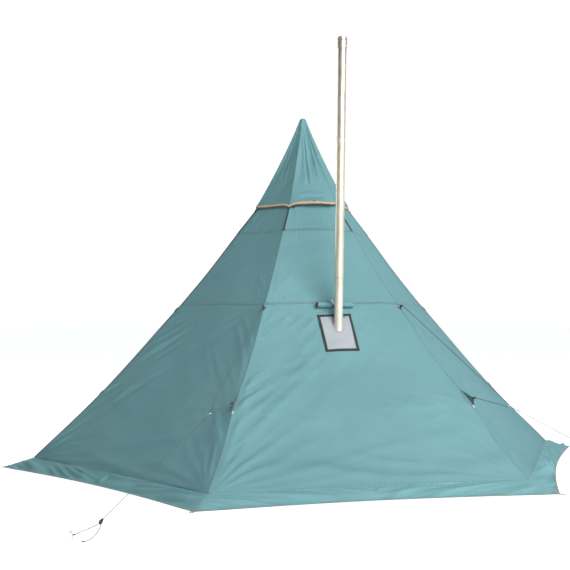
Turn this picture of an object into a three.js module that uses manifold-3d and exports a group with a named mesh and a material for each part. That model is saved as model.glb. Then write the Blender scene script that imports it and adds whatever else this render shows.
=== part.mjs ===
// A six-sided one-pole tent with a ventilated peak hood, a stove jack with its flue pipe, a zipped
// door at the back, a ground skirt, and two rigged guylines at the front.
// Millimetres, +Z up. The origin is the centre of the ground under the pole. -Y is the stove jack's
// side, +Y is the door's side, and X runs from one skirt corner to the opposite one.
import * as THREE from "three";
import { mergeVertices } from "three/addons/utils/BufferGeometryUtils.js";
import Module from "manifold-3d";

const wasm = await Module();
wasm.setup();

// ---------------------------------------------------------------- driving dimensions
const SIDES = 6;
const FACE_ANGLE = (2 * Math.PI) / SIDES;
const FIRST_RIDGE = (-120 * Math.PI) / 180; // ridge 1 is front left, and the others follow anticlockwise
const FACES = ["front", "front_right", "back_right", "back", "back_left", "front_left"];

// Levels of the tent along a ridge: r is the distance from the pole, z the height.
const PEAK = { r: 22, z: 2400 }; // top of the hood
const HOOD_HEM = { r: 346, z: 1750 };
const CONE_TOP = { r: 30, z: 2350 }; // mesh cone under the hood
const NECK = { r: 299, z: 1790 }; // top of the upper walls
const SEAM = { r: 870, z: 1076 }; // upper wall meets lower wall
const HEM = { r: 1857, z: 59 }; // lower wall meets skirt
const SKIRT_TIP = { r: 2060, z: 2.2 };

const CLOTH = 2; // thickness of each cloth panel
const RIDGE_GAP = 1.6; // from a panel's edge to the ridge line
const SEAM_GAP = 0.7; // from a panel's edge to a horizontal seam
const SKIRT_BOW = 60; // how far a skirt's outer edge curves in between its corners
const HOOD_LIFT = 22; // the front of the hood's hem is propped up this much
const HOOD_PUSH = 34; // and out this much

const POLE_R = 15;
const POLE_WALL = 1.5;
const POLE_JOINTS = [12, 790, 1570, 2318]; // where the pole's sections start and end
const SPIGOT = 60; // how far a section's neck reaches into the one above
const FIT_GAP = 0.3;

// below: from the seam down to the jack's centre. off: its gap to the wall.
const JACK = { width: 216, height: 288, below: 238, thick: 2, off: 0.4 };
const JACK_OVERLAP = 22;
const PIPE_R = 27;
const PIPE_WALL = 1.2;
const PIPE_LEAN = (1.1 * Math.PI) / 180; // towards +X
const PIPE_OFFSET = 55; // the pipe passes the jack this far above the jack's centre, up the wall
const PIPE_ASIDE = 8; // and this far towards +X
// Where the sections start and end along the pipe, from where it passes the jack.
const PIPE_JOINTS = [-504, -334, 296, 846, 1171, 1766];
const PIPE_SECTIONS = ["bottom", "lower", "middle", "upper", "top"];
const PIPE_SOCKET = 40; // how far a section reaches into the one below
const ARRESTOR = { r: 30.5, length: 72, overlap: 18, thick: 1.2 };

const STRAP_W = 13; // each side of a ridge strap
const STRAP_T = 1.6;
const TAPE_END = 8; // a tape stops this far from a bend in the ridge
const BRIDGE = { low: 1.1, high: 2, half: 5 };
const LOOP_HOLE = 4;
const LOOP_T = 2.8;
const UPPER_LOOP = { down: 30, base: 24, reach: 24, lean: 10 };
const LOWER_LOOP = { down: 806.8, base: 34, reach: 38, lean: 26 };
const PEG_LOOP = { from: 2046, to: 2098, z: 7.2, eye: 2084 };
const STAKE = { r: 4, height: 34 };

const DOOR_TOP = 40; // from the seam down to the top of the zip
const DOOR_INSET = 70; // from the ridge to the lower end of a leaf's hinge line
const LEAF_GAP = 1.5;
const ZIP_SLIDER_UP = 64; // the slider's height above the leaf's lower edge when the door is shut

const CORD_R = 2;
const RING = { r: 9, tube: 2 };

// ---------------------------------------------------------------- materials
const paint = (color, roughness, metalness = 0) =>
  new THREE.MeshStandardMaterial({ color, roughness, metalness });
const TEAL = paint(0x6f9ea2, 0.8);
const MESH = paint(0x2b3d3f, 0.95);
const WEBBING = paint(0x1c2d30, 0.85);
const JACK_CLOTH = paint(0xc4cac8, 0.9);
const ALUMINIUM = paint(0xb9bcbd, 0.35, 0.9);
const FLUE = paint(0xe6dcc6, 0.35, 0.8);
const PLASTIC = paint(0x222526, 0.6);
const CORD = paint(0xb4c0be, 0.85);

const tent = new THREE.Group();
tent.name = "hexagonal_one_pole_tent";

// ---------------------------------------------------------------- geometry helpers
function place(name, geometry, material, parent = tent) {
  const mesh = new THREE.Mesh(geometry, material);
  mesh.name = name;
  parent.add(mesh);
  return mesh;
}

function solid(geometry) {
  const bare = geometry.index ? geometry.clone() : mergeVertices(geometry);
  for (const name of Object.keys(bare.attributes)) {
    if (name !== "position") bare.deleteAttribute(name);
  }
  const merged = mergeVertices(bare, 1e-3);
  return new wasm.Manifold(
    new wasm.Mesh({
      numProp: 3,
      vertProperties: new Float32Array(merged.attributes.position.array),
      triVerts: new Uint32Array(merged.index.array),
    }),
  );
}

function surface(manifold) {
  const mesh = manifold.getMesh();
  const geometry = new THREE.BufferGeometry();
  geometry.setAttribute("position", new THREE.BufferAttribute(mesh.vertProperties, 3));
  geometry.setIndex(new THREE.BufferAttribute(mesh.triVerts, 1));
  geometry.computeVertexNormals();
  return geometry;
}

const join = (geometries) => surface(geometries.map(solid).reduce((a, b) => a.add(b)));
const cut = (body, tools) =>
  surface(tools.map(solid).reduce((a, b) => a.subtract(b), solid(body)));

function polygon(points, holes = []) {
  const shape = new THREE.Shape(points.map(([x, y]) => new THREE.Vector2(x, y)));
  shape.holes = holes;
  return shape;
}

function circle(x, y, r) {
  return new THREE.Path().absarc(x, y, r, 0, 2 * Math.PI, false);
}

function slab(shape, from, to, curveSegments = 6) {
  const options = { depth: to - from, bevelEnabled: false, curveSegments };
  return new THREE.ExtrudeGeometry(shape, options).translate(0, 0, from);
}

// A solid of revolution about Z from [r, z] points that close on themselves.
function turned(profile, segments = 20) {
  const points = [...profile, profile[0]].map(([r, z]) => new THREE.Vector2(r, z));
  return new THREE.LatheGeometry(points, segments).rotateX(Math.PI / 2);
}

const radial = (angle) => new THREE.Vector3(Math.cos(angle), Math.sin(angle), 0);
const across = (angle) => new THREE.Vector3(-Math.sin(angle), Math.cos(angle), 0);
const ridgeAngle = (k) => FIRST_RIDGE + k * FACE_ANGLE;
const ridgePoint = (k, { r, z }) => radial(ridgeAngle(k)).multiplyScalar(r).setZ(z);

// The frame of one flat face between two levels: X along the face, Y up the slope, Z outwards, with
// its origin in the middle of the lower edge.
function faceFrame(k, top, bottom) {
  const angle = ridgeAngle(k) + FACE_ANGLE / 2;
  const apothem = Math.cos(FACE_ANGLE / 2);
  const low = radial(angle).multiplyScalar(bottom.r * apothem).setZ(bottom.z);
  const high = radial(angle).multiplyScalar(top.r * apothem).setZ(top.z);
  const x = across(angle);
  const y = high.clone().sub(low);
  const length = y.length();
  y.normalize();
  const matrix = new THREE.Matrix4().makeBasis(x, y, x.clone().cross(y)).setPosition(low);
  return { matrix, length, lowHalf: bottom.r / 2, highHalf: top.r / 2 };
}

// ---------------------------------------------------------------- cloth panels
function wallShape({ length, lowHalf, highHalf }, holes = []) {
  const low = lowHalf - RIDGE_GAP;
  const high = highHalf - RIDGE_GAP;
  const top = length - SEAM_GAP;
  return polygon([[-low, SEAM_GAP], [low, SEAM_GAP], [high, top], [-high, top]], holes);
}

function skirtShape({ length, lowHalf, highHalf }) {
  const low = lowHalf - RIDGE_GAP;
  const high = highHalf - RIDGE_GAP;
  const shape = new THREE.Shape();
  shape.moveTo(-low, 0);
  shape.quadraticCurveTo(0, 2 * SKIRT_BOW, low, 0);
  shape.lineTo(high, length - SEAM_GAP);
  shape.lineTo(-high, length - SEAM_GAP);
  return shape;
}

const lower = (k) => faceFrame(k, SEAM, HEM);
const JACK_UP = lower(0).length - JACK.below; // the jack's centre, up the slope from the hem

function jackOutline(inset) {
  const halfW = JACK.width / 2 - inset;
  const halfH = JACK.height / 2 - inset;
  return [
    [-halfW, JACK_UP - halfH],
    [halfW, JACK_UP - halfH],
    [halfW, JACK_UP + halfH],
    [-halfW, JACK_UP + halfH],
  ];
}

function jackOpening() {
  return new THREE.Path(jackOutline(JACK_OVERLAP).map(([x, y]) => new THREE.Vector2(x, y)));
}

// A door leaf turns about the line from the top of the zip to near the lower ridge corner.
function hingeEnds({ length, lowHalf }) {
  return { top: [LEAF_GAP, length - DOOR_TOP], foot: [lowHalf - DOOR_INSET, SEAM_GAP] };
}

function doorLeafShape(frame, side) {
  const { top, foot } = hingeEnds(frame);
  const gap = 1.2;
  const points = [[LEAF_GAP, SEAM_GAP], [foot[0] - gap, SEAM_GAP], [LEAF_GAP, top[1] - gap]];
  return polygon(points.map(([x, y]) => [side * x, y]));
}

function doorWallShape(frame, side) {
  const { top, foot } = hingeEnds(frame);
  const { length, lowHalf, highHalf } = frame;
  const points = [
    [0.4, top[1] + 2],
    [foot[0] + 1, SEAM_GAP],
    [lowHalf - RIDGE_GAP, SEAM_GAP],
    [highHalf - RIDGE_GAP, length - SEAM_GAP],
    [0.4, length - SEAM_GAP],
  ];
  return polygon(points.map(([x, y]) => [side * x, y]));
}

function addWalls() {
  FACES.forEach((face, k) => {
    const upper = faceFrame(k, NECK, SEAM);
    const wall = lower(k);
    const skirt = faceFrame(k, HEM, SKIRT_TIP);
    const sheet = (name, shape, frame) =>
      place(name, slab(shape, -CLOTH, 0).applyMatrix4(frame.matrix), TEAL);
    sheet("upper_wall_" + face, wallShape(upper), upper);
    sheet("skirt_" + face, skirtShape(skirt), skirt);
    if (face === "back") {
      for (const [word, side] of [["left", 1], ["right", -1]]) {
        sheet("back_wall_" + word, doorWallShape(wall, side), wall);
        sheet("door_leaf_" + word, doorLeafShape(wall, side), wall);
      }
    } else {
      sheet("lower_wall_" + face, wallShape(wall, face === "front" ? [jackOpening()] : []), wall);
    }
  });
}

// Six-sided rings of a cylinder: twelve points round, at the ridges and at the middle of each face.
function pyramid(top, bottom) {
  const height = top.z - bottom.z;
  const g = new THREE.CylinderGeometry(1, 1, height, 2 * SIDES, 1).rotateX(Math.PI / 2);
  g.translate(0, 0, bottom.z + height / 2);
  const at = g.attributes.position;
  for (let i = 0; i < at.count; i++) {
    const length = Math.hypot(at.getX(i), at.getY(i));
    if (length > 0.5) {
      const angle = Math.atan2(at.getY(i), at.getX(i));
      const step = Math.round((angle - FIRST_RIDGE) / (FACE_ANGLE / 2));
      const end = at.getZ(i) > bottom.z + 1 ? top : bottom;
      const r = end.r * (step % 2 === 0 ? 1 : Math.cos(FACE_ANGLE / 2));
      const turn = FIRST_RIDGE + (step * FACE_ANGLE) / 2;
      at.setXY(i, r * Math.cos(turn), r * Math.sin(turn));
    }
  }
  return g;
}

// The front middle point of the hood's hem stands out and up, held by the vent prop.
function propOut(g, hemZ) {
  const at = g.attributes.position;
  for (let i = 0; i < at.count; i++) {
    const front = Math.abs(at.getX(i)) < 1 && at.getY(i) < -100;
    if (front && Math.abs(at.getZ(i) - hemZ) < 1) {
      at.setXYZ(i, at.getX(i), at.getY(i) - HOOD_PUSH, at.getZ(i) + HOOD_LIFT);
    }
  }
  return g;
}

function addPeak() {
  const inner = { r: PEAK.r - 2, z: PEAK.z - 5 };
  const slope = (HOOD_HEM.r - PEAK.r) / (PEAK.z - HOOD_HEM.z);
  const drop = 30; // the cutter runs on past the hem
  const hemIn = { r: HOOD_HEM.r - CLOTH * 1.4 + slope * drop, z: HOOD_HEM.z - drop };
  const shell = propOut(pyramid(PEAK, HOOD_HEM), HOOD_HEM.z);
  place("peak_hood", cut(shell, [propOut(pyramid(inner, hemIn), hemIn.z)]), TEAL);
  const coneFoot = { r: NECK.r - 2.5, z: NECK.z + 1 };
  const coneSlope = (coneFoot.r - CONE_TOP.r) / (CONE_TOP.z - coneFoot.z);
  const below = { r: coneFoot.r - CLOTH * 1.4 + coneSlope * drop, z: coneFoot.z - drop };
  const coneIn = { r: CONE_TOP.r - CLOTH * 1.4, z: CONE_TOP.z - 3 };
  place("vent_cone", cut(pyramid(CONE_TOP, coneFoot), [pyramid(coneIn, below)]), MESH);
}

// A flat strip that holds the front of the hood's hem off the wall, hinged at the wall.
const PROP = { width: 24, length: 47, thick: 4, at: [0, -273, 1776], barrel: 3 };

function addVentProp() {
  const strip = new THREE.BoxGeometry(PROP.width, PROP.length, PROP.thick);
  strip.translate(0, -PROP.length / 2, 0);
  const barrel = new THREE.CylinderGeometry(PROP.barrel, PROP.barrel, PROP.width + 8, 12);
  const prop = place("vent_prop", join([strip, barrel.rotateZ(Math.PI / 2)]), PLASTIC);
  prop.position.set(...PROP.at);
}

// ---------------------------------------------------------------- pole
function addPole() {
  const words = ["lower", "middle", "upper"];
  words.forEach((word, i) => {
    const low = POLE_JOINTS[i];
    const high = POLE_JOINTS[i + 1] - FIT_GAP;
    const inner = POLE_R - POLE_WALL;
    const spigotR = inner - FIT_GAP;
    const bore = spigotR - POLE_WALL;
    const last = i === words.length - 1;
    const neck = [
      [spigotR, high],
      [spigotR, high + SPIGOT],
      [bore, high + SPIGOT],
      [bore, high - SPIGOT / 2],
      [inner, high - SPIGOT / 2 - 4],
    ];
    const mouth = last ? [[inner, high]] : neck;
    const profile = [[inner, low], [POLE_R, low], [POLE_R, high], ...mouth];
    place("pole_" + word, turned(profile), ALUMINIUM);
  });
  const plug = POLE_R - POLE_WALL - FIT_GAP;
  const foot = [
    [0, 0],
    [26, 0],
    [26, 5],
    [18, 11],
    [plug, 11.7],
    [plug, 46],
    [0, 46],
  ];
  const footTurned = new THREE.LatheGeometry(foot.map(([r, z]) => new THREE.Vector2(r, z)), 24);
  place("pole_foot", footTurned.rotateX(Math.PI / 2), PLASTIC);
  const end = POLE_JOINTS[3];
  const tip = [
    [0, end - 34],
    [plug, end - 34],
    [plug, end],
    [17, end],
    [17, end + 8],
    [9, end + 22],
    [0, end + 25],
  ];
  const tipTurned = new THREE.LatheGeometry(tip.map(([r, z]) => new THREE.Vector2(r, z)), 24);
  place("pole_tip", tipTurned.rotateX(Math.PI / 2), PLASTIC);
}

// ---------------------------------------------------------------- stove jack and flue pipe
const flue = new THREE.Group(); // its Z is the pipe's axis, and its origin is in the jack
{
  const centre = new THREE.Vector3(PIPE_ASIDE, JACK_UP + PIPE_OFFSET, 0).applyMatrix4(lower(0).matrix);
  flue.position.copy(centre);
  flue.rotation.y = PIPE_LEAN;
  flue.updateMatrixWorld(true);
  tent.add(flue);
}

function addJack() {
  const patch = slab(polygon(jackOutline(0)), JACK.off, JACK.off + JACK.thick);
  patch.applyMatrix4(lower(0).matrix);
  const bore = new THREE.CylinderGeometry(PIPE_R + 0.6, PIPE_R + 0.6, 400, 24);
  bore.rotateX(Math.PI / 2).applyMatrix4(flue.matrixWorld);
  place("stove_jack", cut(patch, [bore]), JACK_CLOTH);
}

// The jack's cover, rolled up under the seam and held by a strap with a toggle.
function addJackFlap() {
  const frame = lower(0);
  const roll = { width: 232, r: 19, up: frame.length - 30, out: 20.5 };
  const cloth = new THREE.CylinderGeometry(roll.r, roll.r, roll.width, 16).rotateZ(Math.PI / 2);
  cloth.translate(10, roll.up, roll.out);
  const hem = new THREE.BoxGeometry(roll.width, 22, 2).translate(10, roll.up + 15, 1.4);
  const band = new THREE.CylinderGeometry(roll.r + 1.6, roll.r + 1.6, 16, 16);
  band.rotateZ(Math.PI / 2).translate(14, roll.up, roll.out + 1);
  const toggle = new THREE.CylinderGeometry(4, 4, 34, 10);
  toggle.rotateZ(Math.PI / 2).translate(14, roll.up, roll.out + roll.r + 5);
  const flap = join([cloth, hem, band, toggle]);
  place("jack_flap", flap.applyMatrix4(frame.matrix), TEAL);
}

// Each pipe section stands in the socket at the top of the one below, behind a rolled bead.
function addPipe() {
  PIPE_SECTIONS.forEach((word, i) => {
    const low = PIPE_JOINTS[i];
    const high = PIPE_JOINTS[i + 1];
    const inner = PIPE_R - PIPE_WALL;
    const slim = inner - FIT_GAP;
    const first = i === 0;
    const tail = first
      ? [[inner, low], [PIPE_R, low]]
      : [
          [slim - PIPE_WALL, low - PIPE_SOCKET],
          [slim, low - PIPE_SOCKET],
          [slim, low],
          [PIPE_R, low + 1],
          [PIPE_R + 2.2, low + 4],
          [PIPE_R + 2.2, low + 7],
          [PIPE_R, low + 10],
        ];
    const close = first ? [] : [[inner, low + 10], [slim - PIPE_WALL, low + 4]];
    const profile = [...tail, [PIPE_R, high - FIT_GAP], [inner, high - FIT_GAP], ...close];
    place("pipe_" + word, turned(profile, 24), FLUE, flue);
  });
}

function addSparkArrestor() {
  const { r, length, overlap, thick } = ARRESTOR;
  const low = PIPE_JOINTS.at(-1) - overlap;
  const high = low + length;
  const inner = PIPE_R + FIT_GAP + 0.1;
  const ledge = PIPE_R - 1; // rests on the rim of the pipe
  const profile = [
    [inner, low],
    [r, low],
    [r, high - 4],
    [r - 3, high],
    [0, high],
    [0, high - thick],
    [r - 4, high - thick],
    [ledge, high - 6],
    [ledge, low + overlap + FIT_GAP],
    [inner, low + overlap + FIT_GAP],
  ].map(([x, z]) => new THREE.Vector2(x, z));
  const cup = new THREE.LatheGeometry([...profile, profile[0]], 24).rotateX(Math.PI / 2);
  const holes = [];
  for (const [row, up] of [overlap + 14, overlap + 34].entries()) {
    for (let i = 0; i < 4; i++) {
      const drill = new THREE.CylinderGeometry(5, 5, 90, 8).rotateZ(Math.PI / 2);
      drill.rotateZ(((i + row / 2) * Math.PI) / 4);
      holes.push(drill.translate(0, 0, low + up));
    }
  }
  place("spark_arrestor", cut(cup, holes), FLUE, flue);
}

// ---------------------------------------------------------------- ridge straps and loops
// The half angle by which two neighbouring faces fall away from their ridge.
function ridgeFall(top, bottom) {
  const run = (bottom.r - top.r) * Math.cos(FACE_ANGLE / 2);
  const rise = top.z - bottom.z;
  const out = rise / Math.hypot(run, rise);
  const up = run / Math.hypot(run, rise);
  return Math.acos(out * out * Math.cos(FACE_ANGLE) + up * up) / 2;
}

// A folded tape along a ridge between two levels. Where the ridge bends it stops short of the bend.
function ridgeTape(k, top, bottom, bendsAbove, bendsBelow) {
  const fall = ridgeFall(top, bottom);
  const wide = STRAP_W * Math.cos(fall);
  const drop = STRAP_W * Math.sin(fall);
  const low = 0.6;
  const high = low + STRAP_T;
  const section = polygon([
    [-wide, low - drop],
    [0, low],
    [wide, low - drop],
    [wide, high - drop],
    [0, high],
    [-wide, high - drop],
  ]);
  const { matrix, length } = ridgeFrame(k, top, bottom);
  const from = bendsAbove ? TAPE_END : 0;
  const to = length - (bendsBelow ? TAPE_END : 0);
  return slab(section, from, to).applyMatrix4(matrix);
}

// X along the face's level line, Y out from the ridge, Z down it, with the origin at the upper level.
function ridgeFrame(k, top, bottom) {
  const start = ridgePoint(k, top);
  const down = ridgePoint(k, bottom).sub(start);
  const length = down.length();
  down.normalize();
  const x = across(ridgeAngle(k));
  const out = down.clone().cross(x);
  return { matrix: new THREE.Matrix4().makeBasis(x, out, down).setPosition(start), length };
}

// A webbing loop that stands out from the ridge: down is along the ridge from the seam, and lean is
// how much further down its tip is.
function guyLoop(k, { down, base, reach, lean }) {
  const tip = down + lean;
  const outline = [
    [down - base, 1],
    [down + base, 1],
    [tip + 7, reach - 4],
    [tip, reach],
    [tip - 7, reach - 4],
  ];
  const hole = circle(tip, reach - 9, LOOP_HOLE);
  const fin = slab(polygon(outline, [hole]), -LOOP_T / 2, LOOP_T / 2, 3).rotateY(-Math.PI / 2);
  return fin.applyMatrix4(ridgeFrame(k, SEAM, HEM).matrix);
}

// A flat webbing loop that carries on from the end of the tape, just above the ground.
function pegLoop(k) {
  const half = 9;
  const outline = [
    [PEG_LOOP.from, -half],
    [PEG_LOOP.to, -half],
    [PEG_LOOP.to, half],
    [PEG_LOOP.from, half],
  ];
  const strip = slab(polygon(outline, [circle(PEG_LOOP.eye, 0, 6.5)]), PEG_LOOP.z, PEG_LOOP.z + STRAP_T, 4);
  return strip.rotateZ(ridgeAngle(k));
}

// A narrow bar that joins two tapes over the bend between them, above the cloth.
function tapeBridge(k, top, bend, bottom) {
  const above = ridgeFrame(k, top, bend);
  const below = ridgeFrame(k, bend, bottom);
  const reach = 2 * TAPE_END;
  const at = ({ matrix }, down, out) => new THREE.Vector3(0, out, down).applyMatrix4(matrix);
  const outline = [
    at(above, above.length - reach, BRIDGE.low),
    at(above, above.length, BRIDGE.low + 0.4),
    at(below, reach, BRIDGE.low),
    at(below, reach, BRIDGE.high),
    at(below, 0, BRIDGE.high + 0.4),
    at(above, above.length - reach, BRIDGE.high),
  ];
  const angle = ridgeAngle(k);
  const flat = outline.map((v) => [v.dot(radial(angle)), v.z]);
  const bar = slab(polygon(flat), -BRIDGE.half, BRIDGE.half);
  const up = new THREE.Vector3(0, 0, 1);
  const basis = new THREE.Matrix4().makeBasis(radial(angle), up, radial(angle).cross(up));
  return bar.applyMatrix4(basis);
}

function levelBetween(top, bottom, { z }) {
  const share = (top.z - z) / (top.z - bottom.z);
  return { r: top.r + share * (bottom.r - top.r), z };
}

function addRidgeStraps() {
  const start = levelBetween(NECK, SEAM, { z: HOOD_HEM.z - 12 });
  const end = levelBetween(HEM, SKIRT_TIP, { z: 4.4 });
  for (let k = 0; k < SIDES; k++) {
    const levels = [start, SEAM, HEM, end];
    const tapes = levels.slice(1).map((level, i) => ridgeTape(k, levels[i], level, i > 0, i < 2));
    const bridges = [tapeBridge(k, start, SEAM, HEM), tapeBridge(k, SEAM, HEM, end)];
    const loops = [guyLoop(k, UPPER_LOOP), guyLoop(k, LOWER_LOOP), pegLoop(k)];
    place("ridge_strap_" + (k + 1), join([...tapes, ...bridges, ...loops]), WEBBING);
  }
}

// A round bar that stands on the ground and ends in a hook that points away from the tent.
function hookedPeg(r, height) {
  const path = new THREE.CatmullRomCurve3(
    [
      [0, 0],
      [0, height * 0.6],
      [r * 0.3, height * 0.85],
      [r * 1.6, height],
      [r * 3.4, height + r * 0.4],
    ].map(([x, z]) => new THREE.Vector3(x, 0, z)),
    false,
    "centripetal",
  );
  const section = new THREE.Shape().absarc(0, 0, r, 0, 2 * Math.PI, false);
  const options = { steps: 8, bevelEnabled: false, extrudePath: path, curveSegments: 5 };
  const bar = new THREE.ExtrudeGeometry(section, options);
  bar.computeBoundingBox();
  return bar.translate(0, 0, -bar.boundingBox.min.z);
}

// ---------------------------------------------------------------- door zip
// The slider runs on the left leaf's half of the zip, clear of the right leaf.
function addZipSlider() {
  const frame = lower(FACES.indexOf("back"));
  const body = new THREE.BoxGeometry(9, 16, 5).translate(0, 0, 2.9);
  const bridge = new THREE.BoxGeometry(3, 10, 4).translate(0, 0, 6.6);
  const tab = new THREE.BoxGeometry(6, 34, 2).translate(0, -18, 8.4);
  const slider = join([body, bridge, tab]).translate(LEAF_GAP + 5.2, ZIP_SLIDER_UP, 0);
  place("zip_slider", slider.applyMatrix4(frame.matrix), PLASTIC);
}

// ---------------------------------------------------------------- guylines
// Routes on the -X side. The +X side's are their mirror images.
const BRIDLE = [
  [-459.6, -795.6, 1061],
  [-523, -888, 975],
  [-589, -984, 886],
  [-676, -1111, 768],
  [-763, -1239, 650],
  [-828, -1334, 561],
  [-871, -1398, 502],
  [-886.5, -1420, 481.5],
  [-893.1, -1429.6, 472.6],
  [-894.1, -1432.3, 468.6],
  [-892.6, -1433.1, 464],
  [-889.2, -1431.7, 460.8],
  [-885.3, -1428.7, 460.3],
  [-871.6, -1414.7, 464.5],
  [-844, -1387, 473],
  [-800, -1342, 486],
  [-760, -1301, 498.5],
  [-741.8, -1282.5, 504],
];
const GUYLINE = [
  [-898, -1439, 460.7],
  [-960.5, -1510.1, 418.9],
  [-1023, -1581.2, 377.2],
  [-1085.6, -1652.3, 335.4],
  [-1148, -1723.4, 293.7],
  [-1210.6, -1794.5, 251.9],
  [-1273.2, -1865.7, 210.1],
  [-1335.7, -1936.8, 168.4],
  [-1398.2, -2007.9, 126.6],
  [-1460.8, -2079, 84.9],
  [-1523.3, -2150.1, 43.1],
  [-1530, -2156.5, 39.5],
  [-1540, -2165, 36.5],
  [-1560, -2182, 32.5],
  [-1590, -2207.5, 27],
  [-1620, -2233, 21.5],
  [-1640, -2250, 18],
];
const TAIL = [
  [-1512, -2138, 33.5],
  [-1513.5, -2144, 27.5],
  [-1518, -2156, 21.5],
  [-1526, -2178, 14],
  [-1536, -2204, 8],
  [-1546, -2231, 4.2],
  [-1555, -2256, 2.6],
  [-1563, -2278, 2.3],
  [-1572, -2298, 2.3],
  [-1584, -2315, 2.3],
  [-1600, -2328, 2.3],
];
const RING_AT = [-890, -1430, 466];
const RING_NORMAL = [-0.45, -0.04, 0.89];
const TENSIONER_AT = [-1510, -2135, 52];
const STAKE_AT = [-1645, -2254.4, 0];

// A smooth curve through points, whose even steps fall on the points themselves.
class Route extends THREE.CatmullRomCurve3 {
  constructor(points) {
    super(points, false, "centripetal");
  }
  getPointAt(t, target) {
    return this.getPoint(t, target);
  }
  getTangentAt(t, target) {
    return this.getTangent(t, target);
  }
}

function cordAlong(points) {
  const section = new THREE.Shape();
  for (let i = 0; i < 8; i++) {
    const turn = (i * Math.PI) / 4;
    const [x, y] = [CORD_R * Math.cos(turn), CORD_R * Math.sin(turn)];
    if (i === 0) section.moveTo(x, y);
    else section.lineTo(x, y);
  }
  const options = {
    steps: points.length - 1,
    bevelEnabled: false,
    extrudePath: new Route(points),
  };
  return new THREE.ExtrudeGeometry(section, options);
}

// A small plate that grips the line, with a hole for it: X runs down the line, and Y is under it.
function tensioner(at, along) {
  const outline = [[-14, -5.5], [13, -5.5], [16, 4], [12, 13], [4, 13], [-14, 4]];
  const plate = slab(polygon(outline), -4, 4);
  const bore = new THREE.CylinderGeometry(CORD_R + 0.7, CORD_R + 0.7, 60, 12);
  const under = new THREE.Vector3(0, 0, -1);
  under.addScaledVector(along, -under.dot(along)).normalize();
  const side = along.clone().cross(under);
  const matrix = new THREE.Matrix4().makeBasis(along, under, side).setPosition(at);
  return cut(plate, [bore.rotateZ(Math.PI / 2)]).applyMatrix4(matrix);
}

function addGuylines() {
  for (const [word, flip] of [["left", 1], ["right", -1]]) {
    const at = ([x, y, z]) => new THREE.Vector3(flip * x, y, z);
    place("bridle_cord_" + word, cordAlong(BRIDLE.map(at)), CORD);
    place("guyline_" + word, cordAlong(GUYLINE.map(at)), CORD);
    place("guyline_tail_" + word, cordAlong(TAIL.map(at)), CORD);
    const ring = place("cord_ring_" + word, new THREE.TorusGeometry(RING.r, RING.tube, 8, 14), ALUMINIUM);
    const normal = at(RING_NORMAL).normalize();
    ring.quaternion.setFromUnitVectors(new THREE.Vector3(0, 0, 1), normal);
    ring.position.copy(at(RING_AT));
    const along = at(TENSIONER_AT).sub(at(GUYLINE[0])).normalize();
    place("tensioner_" + word, tensioner(at(TENSIONER_AT), along), PLASTIC);
    const stake = place("guy_stake_" + word, hookedPeg(STAKE.r, STAKE.height), ALUMINIUM);
    stake.position.copy(at(STAKE_AT));
    stake.rotation.z = Math.atan2(STAKE_AT[1] - GUYLINE[0][1], flip * (STAKE_AT[0] - GUYLINE[0][0]));
  }
}

addPole();
addWalls();
addPeak();
addVentProp();
addJack();
addJackFlap();
addPipe();
addSparkArrestor();
addRidgeStraps();
addZipSlider();
addGuylines();

export default tent;
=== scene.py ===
"""A six-sided one-pole tent with a peak hood, a stove jack with its flue pipe, a zipped door and guylines."""

import math
from collections import namedtuple

import bmesh
import bpy
import numpy as np
from mathutils import Matrix, Vector


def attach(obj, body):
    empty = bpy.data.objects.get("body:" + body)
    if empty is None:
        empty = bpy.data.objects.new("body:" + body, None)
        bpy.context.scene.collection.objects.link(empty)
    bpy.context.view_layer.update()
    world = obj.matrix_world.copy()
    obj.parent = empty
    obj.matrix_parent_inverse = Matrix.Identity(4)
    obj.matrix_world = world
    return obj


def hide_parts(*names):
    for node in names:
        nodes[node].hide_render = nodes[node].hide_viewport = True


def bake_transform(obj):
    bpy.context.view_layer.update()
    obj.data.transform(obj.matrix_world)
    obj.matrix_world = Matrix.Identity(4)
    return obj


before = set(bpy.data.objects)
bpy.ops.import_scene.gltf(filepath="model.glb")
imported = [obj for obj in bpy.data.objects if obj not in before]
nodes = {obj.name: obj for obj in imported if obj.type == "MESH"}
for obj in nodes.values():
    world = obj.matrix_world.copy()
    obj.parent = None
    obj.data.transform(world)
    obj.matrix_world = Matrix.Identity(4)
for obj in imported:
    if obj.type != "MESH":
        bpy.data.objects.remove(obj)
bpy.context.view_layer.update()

# ---------------------------------------------------------------- driving dimensions, in metres
SIDES = 6
HALF_FACE = math.pi / SIDES
APOTHEM = math.cos(HALF_FACE)
FIRST_RIDGE = math.radians(-120)
FACES = ["front", "front_right", "back_right", "back", "back_left", "front_left"]
FRONT, BACK = FACES.index("front"), FACES.index("back")

# Levels along a ridge: distance from the pole, and height.
PEAK = (0.022, 2.400)
HOOD_HEM = (0.346, 1.750)
CONE_TOP = (0.030, 2.350)
NECK = (0.299, 1.790)
SEAM = (0.870, 1.076)
HEM = (1.857, 0.059)
SKIRT_TIP = (2.060, 0.0022)


def slope_length(top, bottom):
    return math.hypot((bottom[0] - top[0]) * APOTHEM, top[1] - bottom[1])


def slope_normal(top, bottom):
    """(outward, upward) parts of the normal of a face between two levels."""
    length = slope_length(top, bottom)
    return (top[1] - bottom[1]) / length, (bottom[0] - top[0]) * APOTHEM / length


UPPER = slope_length(NECK, SEAM)
LOWER = slope_length(SEAM, HEM)
WALL = UPPER + LOWER
UPPER_NORMAL = slope_normal(NECK, SEAM)
LOWER_NORMAL = slope_normal(SEAM, HEM)

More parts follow.
